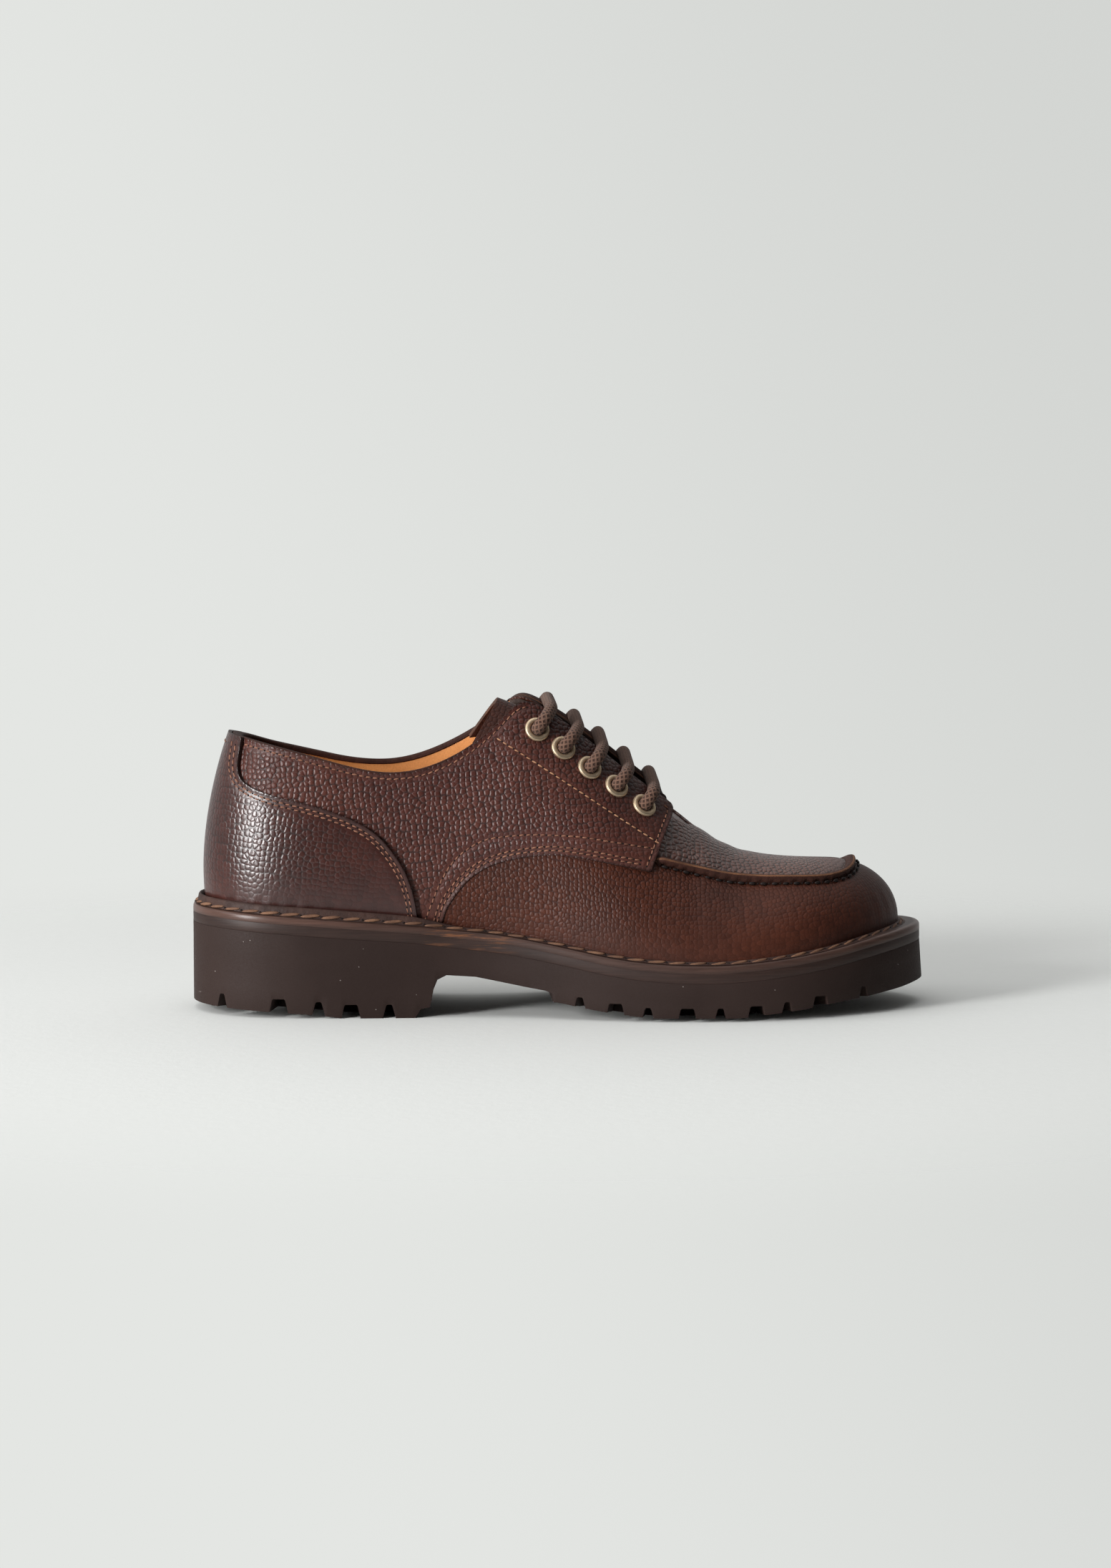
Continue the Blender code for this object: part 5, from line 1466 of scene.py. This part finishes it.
def makeOutsole():
    half = sole["steps"] // 2
    lift = steadyCurve(sole["edgeLift"])

    def rubberEdge(flare):
        plan = edgePoint(soleS, soleReach)
        return plan + footLine(soleS)[1] * (flareLine(plan[:, 0]) * flare)[:, None]

    low, high = rubberEdge(1.0), rubberEdge(0.0)
    topDrop = last["welt"] + last["midsole"] + 2 * last["clearance"]
    top = np.concatenate([high, (seatLine(high[:, 0]) - topDrop)[:, None]], 1)
    columns = len(sole["across"])
    points = []
    for i in range(half + 1):
        near, far = low[i], low[(sole["steps"] - i) % sole["steps"]]
        for share in sole["across"]:
            x, y = near + (far - near) * share
            curl = float(lift(x)) * float(smoothStep(0.6, 1.0, abs(2 * share - 1)))
            points.append((x, y, float(treadLine(x)) + curl))
    count = len(points)
    points += [top[(i if side < 0 else -i) % sole["steps"]] for i in range(half + 1) for side in (-1, 1)]
    faces = gridFaces(half + 1, columns) + [[count + v for v in face] for face in gridFaces(half + 1, 2)]
    for lowEnd, highEnd in ((0, 0), (columns - 1, 1)):
        wallRows = [[i * columns + lowEnd for i in range(half + 1)]]
        for rise in sole["wallRows"]:  # rows above the cleats, so that they keep the wall's even shading
            wallRows.append([])
            for i in range(half + 1):
                foot, head = np.array(points[i * columns + lowEnd]), np.array(points[count + i * 2 + highEnd])
                wallRows[-1].append(len(points))
                points.append(tuple(foot + (head - foot) * rise))
        wallRows.append([count + i * 2 + highEnd for i in range(half + 1)])
        for lower, upper in zip(wallRows, wallRows[1:]):
            faces += [[lower[i], lower[i + 1], upper[i + 1], upper[i]] for i in range(half)]
    unit = addPiece("rubberUnit", points, faces, [rubber])
    weld(unit, sole["weld"])
    turnFaces(unit)
    cutters = makeTreadCutters()
    folder = bpy.data.collections.new("treadCutters")
    for cutter in cutters:
        folder.objects.link(cutter)
    cut = unit.modifiers.new("tread", "BOOLEAN")
    cut.operation, cut.solver, cut.operand_type, cut.collection = "DIFFERENCE", "EXACT", "COLLECTION", folder
    roundEdges(unit, sole["round"], angle=sole["sharp"])
    settle(unit)
    unit.data.shade_smooth()
    unit.data.set_sharp_from_angle(angle=math.radians(sole["sharp"]))
    for cutter in cutters:
        bpy.data.objects.remove(cutter)
    bpy.data.collections.remove(folder)
    return finishPiece(unit, "rubber", "outsole")


makeWelt()
makeMidsole()
makeInsole()
makeOutsole()
print("sole made")

# Tongue

tongue = {
    # (along the shoe, height, half width, how far its sides drop)
    "rows": (
        (199.0, 58.9, 8.0, 1.5), (188.5, 65.2, 11.5, 3.5), (176.0, 78.4, 13.5, 6.0), (162.0, 91.4, 14.5, 8.0),
        (140.0, 108.0, 16.5, 11.0), (126.0, 115.6, 17.5, 14.0), (117.5, 119.0, 18.5, 19.0),
    ),
    "slope": 33.0, "thickness": 2.4, "steps": 70, "columns": 41, "grain": 0.6, "dark": 0.25, "round": 0.4,
}


def makeTongue():
    slope = math.radians(tongue["slope"])
    lean = np.array([math.sin(slope), 0.0, math.cos(slope)])
    axes = [steadyCurve(list(enumerate(column))) for column in zip(*tongue["rows"])]
    rings = []
    for place in np.linspace(0, len(tongue["rows"]) - 1, tongue["steps"]):
        x, z, half, drop = (float(axis(place)) for axis in axes)
        shares = np.linspace(-1, 1, tongue["columns"])[:, None]
        middle = np.array([x, 0.0, z])
        rings.append(middle + np.array([0.0, half, 0.0]) * shares - lean * drop * shares**2)
    points = np.array(rings)
    sheet = addPiece("tongueLeather", points, gridFaces(*points.shape[:2]), [vampLeather, backEdge])
    faceUp(sheet)
    layFlat(sheet)
    setGrain(sheet, tongue["grain"], tongue["dark"])
    thicken(sheet, tongue["thickness"], rim=1)
    roundEdges(sheet, tongue["round"])
    settle(sheet)
    return finishPiece(sheet, "grain_leather", "tongue")


makeTongue()
print("tongue made")

# Thread: one geometry tree lays stitches, and dark pits at their holes as painted shade, along lines that carry
# the surface's direction

threads = {  # sizes in millimetres, the slant in radians
    "upper": {
        "Pitch": 2.65, "Length": 2.1, "Width": 0.66, "Height": 0.62, "Slant": 0.12, "Hole": 0.38, "lift": 0.10,
        "sunk": 0.8, "tabSunk": 0.1,  # share of the pressed depth on the rows, and how deep the tab's row lies
    },
    "welt": {
        "Pitch": 7.8, "Length": 7.6, "Width": 1.35, "Height": 1.0, "Slant": 0.16, "Hole": 0.5, "lift": 0.1,
        "beside": 1.55, "up": 0.12, "upLip": 0.16, "outward": (0.75, 0.66),  # out from the lip, up, (away, up)
    },
    "apron": {
        "Pitch": 4.3, "Length": 2.7, "Width": 1.3, "Height": 1.0, "Slant": 0.0, "Hole": 0.4, "lift": 0.12,
        "at": (3.00, 1.58), "outward": (0.9, 0.44),  # (across, up) off the wall
    },
}


def newTree(name, **inputs):
    tree = bpy.data.node_groups.new(name, "GeometryNodeTree")
    for label, kind in {"Geometry": "Geometry", **inputs}.items():
        tree.interface.new_socket(label, in_out="INPUT", socket_type="NodeSocket" + kind)
    tree.interface.new_socket("Geometry", in_out="OUTPUT", socket_type="NodeSocketGeometry")
    return tree, tree.nodes.new("NodeGroupInput").outputs, tree.nodes.new("NodeGroupOutput")


def outNode(tree):  # direction out of the leather, kept on each point
    kept = addNode(tree, "GeometryNodeInputNamedAttribute", {"Name": "out"}, data_type="FLOAT_VECTOR")
    return kept.outputs[0]


def realNode(tree, instances, finish):
    real = addNode(tree, "GeometryNodeRealizeInstances", {"Geometry": instances.outputs[0]}).outputs[0]
    return addNode(tree, "GeometryNodeSetMaterial", {"Geometry": real, "Material": finish}).outputs[0]


def runTree(name, tree, points, edges, outs, values):  # a tree on points that carry their outward direction
    mesh = bpy.data.meshes.new(name)
    mesh.from_pydata(toWorld(points).tolist(), edges, [])
    piece = addObject(name, mesh)
    setAttribute(piece, "out", outs, "FLOAT_VECTOR")
    work = piece.modifiers.new("tree", "NODES")
    work.node_group = tree
    for item in tree.interface.items_tree:
        if item.in_out == "INPUT" and item.name in values:
            work[item.identifier] = values[item.name]
    return settle(piece)


stitchSizes = ("Pitch", "Length", "Width", "Height", "Slant", "Hole")


def makeStitchTree():
    sizes = dict.fromkeys(stitchSizes, "Float")
    tree, given, made = newTree("stitchRows", **sizes, Thread="Material", Pinhole="Material")
    line = addNode(tree, "GeometryNodeMeshToCurve", {"Mesh": given["Geometry"]}).outputs[0]
    halfPitch = mathNode(tree, "MULTIPLY", given["Pitch"], 0.5)
    spaced = addNode(tree, "GeometryNodeResampleCurve", {"Curve": line, "Length": halfPitch}, mode="LENGTH")
    ahead = tree.nodes.new("GeometryNodeInputTangent").outputs[0]
    turned = addNode(tree, "FunctionNodeAlignRotationToVector", {"Vector": ahead}, axis="X")
    upright = addNode(tree, "FunctionNodeAlignRotationToVector",
                      {"Rotation": turned.outputs[0], "Vector": outNode(tree)}, axis="Z", pivot_axis="X")
    odd = mathNode(tree, "MODULO", tree.nodes.new("GeometryNodeInputIndex").outputs[0], 2.0)
    even = mathNode(tree, "SUBTRACT", 1.0, odd)
    ball = addNode(tree, "GeometryNodeMeshUVSphere", {"Segments": 8, "Rings": 6, "Radius": 0.5})
    size = addNode(tree, "ShaderNodeCombineXYZ", {0: given["Length"], 1: given["Width"], 2: given["Height"]})
    shaped = addNode(tree, "GeometryNodeTransform", {"Geometry": ball.outputs[0], "Scale": size.outputs[0]})
    slant = addNode(tree, "ShaderNodeCombineXYZ", {2: given["Slant"]})
    slanted = addNode(tree, "GeometryNodeTransform",
                      {"Geometry": shaped.outputs[0], "Rotation": slant.outputs[0]})
    rough = addNode(tree, "FunctionNodeRandomValue", {2: 0.88, 3: 1.1, "Seed": 7}, data_type="FLOAT")
    loops = addNode(tree, "GeometryNodeInstanceOnPoints", {
        "Points": spaced.outputs[0], "Selection": even, "Instance": slanted.outputs[0],
        "Rotation": upright.outputs[0], "Scale": rough.outputs[1],
    })
    # a flat dark pit on each hole: painted shade
    dot = addNode(tree, "GeometryNodeMeshUVSphere", {"Segments": 8, "Rings": 4, "Radius": 1.0})
    shallow = mathNode(tree, "MULTIPLY", given["Hole"], 0.3)
    wide = addNode(tree, "ShaderNodeCombineXYZ", {0: given["Hole"], 1: given["Hole"], 2: shallow})
    pit = addNode(tree, "GeometryNodeTransform", {"Geometry": dot.outputs[0], "Scale": wide.outputs[0]})
    holes = addNode(tree, "GeometryNodeInstanceOnPoints", {
        "Points": spaced.outputs[0], "Selection": odd, "Instance": pit.outputs[0],
        "Rotation": upright.outputs[0],
    })
    joined = tree.nodes.new("GeometryNodeJoinGeometry")
    for part, label in ((loops, "Thread"), (holes, "Pinhole")):
        tree.links.new(realNode(tree, part, given[label]), joined.inputs[0])
    smooth = addNode(tree, "GeometryNodeSetShadeSmooth", {"Geometry": joined.outputs[0]})
    tree.links.new(smooth.outputs[0], made.inputs[0])
    return tree


stitchTree = makeStitchTree()


def sewRows(name, kind, lines, thread, slot):  # lines: (points, outward directions)
    settings = threads[kind]
    points = np.concatenate([line[0] + line[1] * settings["lift"] for line in lines])
    outs = np.concatenate([line[1] for line in lines])
    edges, first = [], 0
    for line, _ in lines:
        edges += [(first + i, first + i + 1) for i in range(len(line) - 1)]
        first += len(line)
    values = {label: settings[label] * (1.0 if label == "Slant" else mm) for label in stitchSizes}
    values.update(Thread=thread, Pinhole=holeShade)
    return finishPiece(runTree(name, stitchTree, points, edges, outs, values), slot)


def rowLine(surface, places, lift):
    points = surface(places[:, 0], places[:, 1], lift)
    return points, surfaceNormal(lambda s, t: surface(s, t, lift), places[:, 0], places[:, 1])


def sewUpper():
    lines, facing = [], []
    settings = threads["upper"]
    sunk = last["overlay"] - seams["pressDepth"] * settings["sunk"]
    for side in (-1, 1):
        sewn = [rowLine(quarterPoint, line, sunk) for line in rows[side][0]]
        facing.append(sewn.pop(seams["facingRow"]))
        lines += sewn + [rowLine(counterPoint, line, sunk) for line in rows[side][1]]
    half, t, count = seams["tabRow"]
    tab = np.stack([np.linspace(-half, half, count), np.full(count, t)], -1)
    lines.append(rowLine(counterPoint, tab, last["overlay"] - settings["tabSunk"]))
    sewRows("facingStitches", "upper", facing, tanThread, "grain_leather")
    sewRows("upperStitches", "upper", lines, brownThread, "grain_leather")


def sewWelt():
    settings = threads["welt"]
    _, lip, lean = stormLip()
    plan = edgePoint(soleS, lean + settings["beside"])
    height = seatLine(plan[:, 0]) + settings["up"] + settings["upLip"] * lip
    points = np.concatenate([plan, height[:, None]], 1)
    away, up = settings["outward"]
    outs = np.concatenate([footLine(soleS)[1] * away, np.full((len(plan), 1), up)], 1)
    close = np.arange(len(points) + 1) % len(points)
    return sewRows("weltStitches", "welt", [(points[close], outs[close])], weltThread, "welt_leather")


def sewApron():
    across, up = threads["apron"]["at"]
    points = apronPoints + apronAcross * across + apronUps * up
    across, up = threads["apron"]["outward"]
    outs = apronAcross * across + apronUps * up
    shown = apronPoints[:, 0] > apron["lowAt"][1]
    return sewRows("apronStitches", "apron", [(points[shown], outs[shown])], darkThread, "grain_leather")


sewUpper()
sewWelt()
sewApron()
print("seams sewn")

# Eyelets and lace

lace = {
    "diameter": 5.0, "sides": 20, "step": 0.8,
    "rise": ((-0.5, 0.0), (1.3, 0.1), (2.9, 0.9), (4.2, 2.6)),  # out of an eyelet: (up, to the facing edge)
    "crest": 4.3, "lift": 1.5, "bow": 0.2, "inside": 9.5, "below": 3.5,
    "order": (2, 4, 5, 3, 1), "fromNear": (1, 4),  # the bars in turn, and which of them start on the near side
    "ribs": (6.0, 10.0), "tail": (5.0, (-2.0, 4.0, -1.0)),  # the first end: (deeper, moved by)
    "ahead": (5.4, 5.8, 5.2, 4.8, 4.0),  # how far forward of its eyelet each bar meets the facing edge
}


def makeEyelets():
    bore, flange, barrel, deep = (eyelets[name] for name in ("bore", "flange", "barrel", "deep"))
    roll = eyelets["roll"]
    profile = [(flange, 0.02), (flange + 0.02, 0.18), (flange - 0.12, 0.42)]
    for angle in np.linspace(*roll["turn"], roll["steps"]):
        radius = roll["middle"] + roll["half"] * math.cos(angle)
        profile.append((radius, roll["up"] + roll["high"] * math.sin(angle)))
    profile += [(bore, roll["up"]), (bore - 0.02, -1.2), (bore + 0.05, -deep), (barrel, -deep), (barrel, 0.0)]
    turns = np.linspace(0, 2 * math.pi, eyelets["sides"], endpoint=False)
    ring = [(r * math.cos(a), r * math.sin(a), h) for a in turns for r, h in profile]
    faces = gridFaces(len(turns), len(profile), roundRows=True, roundColumns=True)
    shape = bpy.data.meshes.new("ringShape")
    shape.from_pydata((np.array(ring) * mm).tolist(), [], faces)
    shape.materials.append(brass)
    shape.shade_smooth()
    model = addObject("ringShape", shape)
    turnFaces(model)
    tree, given, made = newTree("eyeletRings", Ring="Object", Metal="Material")
    upright = addNode(tree, "FunctionNodeAlignRotationToVector", {"Vector": outNode(tree)}, axis="Z")
    part = addNode(tree, "GeometryNodeObjectInfo", {"Object": given["Ring"]})
    placed = addNode(tree, "GeometryNodeInstanceOnPoints", {
        "Points": given["Geometry"], "Instance": part.outputs["Geometry"], "Rotation": upright.outputs[0],
    })
    tree.links.new(realNode(tree, placed, given["Metal"]), made.inputs[0])
    outs = np.array([place["out"] for place in eyeletPlaces])
    points = np.array([place["point"] for place in eyeletPlaces]) + outs * eyelets["lift"]
    piece = runTree("eyeletRings", tree, points, [], outs, {"Ring": model, "Metal": brass})
    bpy.data.objects.remove(model)
    nodes = [f"eyelet_{side}_{number}" for side in ("lat", "med") for number in range(1, eyelets["count"] + 1)]
    return finishPiece(piece, "eyelet_brass", *nodes)


def barRoute(number):  # one bar: out of an eyelet, over the facing edges and into the eyelet across
    ends = []
    for place in (eyeletPlaces[number - 1], eyeletPlaces[number - 1 + eyelets["count"]]):
        side, point, out = place["side"], place["point"], place["out"]
        ribs = np.linspace(*lace["ribs"], 400)
        edgeX = quarterPoint(side * ribs, 1.0, last["overlay"])[:, 0]
        rib = float(np.interp(point[0] + lace["ahead"][number - 1], edgeX, ribs))
        edge = quarterPoint(side * rib, 1.0, last["overlay"])
        above = np.array([0.2, side * 0.3, 1.0]) * lace["lift"]
        over = (edge - point) / np.linalg.norm(edge - point)
        route = [point - out * lace["inside"], point - out * lace["below"]]
        route += [point + out * height + over * ahead for height, ahead in lace["rise"]]
        ends.append(route + [(point + edge) / 2 + out * lace["crest"], edge + above])
    middle = (ends[0][-1] + ends[1][-1]) / 2 + np.array([0.0, 0.0, lace["bow"]])
    return ends[0] + [middle] + ends[1][::-1]


def laceRoute():  # both ends stop inside, under the top eyelets
    route = []
    for step, number in enumerate(lace["order"]):
        bar = barRoute(number)
        route += bar if step in lace["fromNear"] else bar[::-1]
    deeper, moved = lace["tail"]
    start = eyeletPlaces[0]["point"] - eyeletPlaces[0]["out"] * (lace["inside"] + deeper) + np.array(moved)
    return np.array([start] + route)


def makeLace():
    route = laceRoute()
    run = runOf(route)
    axes = [steadyCurve(list(zip(run, axis))) for axis in route.T]
    places = np.arange(0, run[-1], lace["step"])
    line = np.stack([axis(places) for axis in axes], -1)
    ahead = np.gradient(line, axis=0)
    ahead /= np.linalg.norm(ahead, axis=1, keepdims=True)
    across = np.cross(ahead[0], (0.0, 0.0, 1.0))
    sides, radius, points = lace["sides"], lace["diameter"] / 2, []
    turns = np.linspace(0, 2 * math.pi, sides, endpoint=False)
    for point, forward in zip(line, ahead):
        across = across - forward * np.dot(across, forward)
        across /= np.linalg.norm(across)
        other = np.cross(forward, across)
        points += [point + (across * math.cos(a) + other * math.sin(a)) * radius for a in turns]
    tube = addPiece("laceCord", points, tubeFaces(len(line), sides), [laceBraid])
    turnFaces(tube)
    flat = tube.data.uv_layers.new(name="cut").data
    for face in tube.data.polygons:
        columns = [v % sides for v in face.vertices]
        wraps = max(columns) - min(columns) > 1
        for corner, v, column in zip(face.loop_indices, face.vertices, columns):
            turn = sides if wraps and column == 0 else column
            flat[corner].uv = (places[v // sides], turn / sides)
    bars = [f"lace_bar_{number}" for number in range(1, eyelets["count"] + 1)]
    return finishPiece(tube, "lace_cotton", *bars)


makeEyelets()
makeLace()
bpy.data.objects.remove(pins)
print("eyelets and lace made")
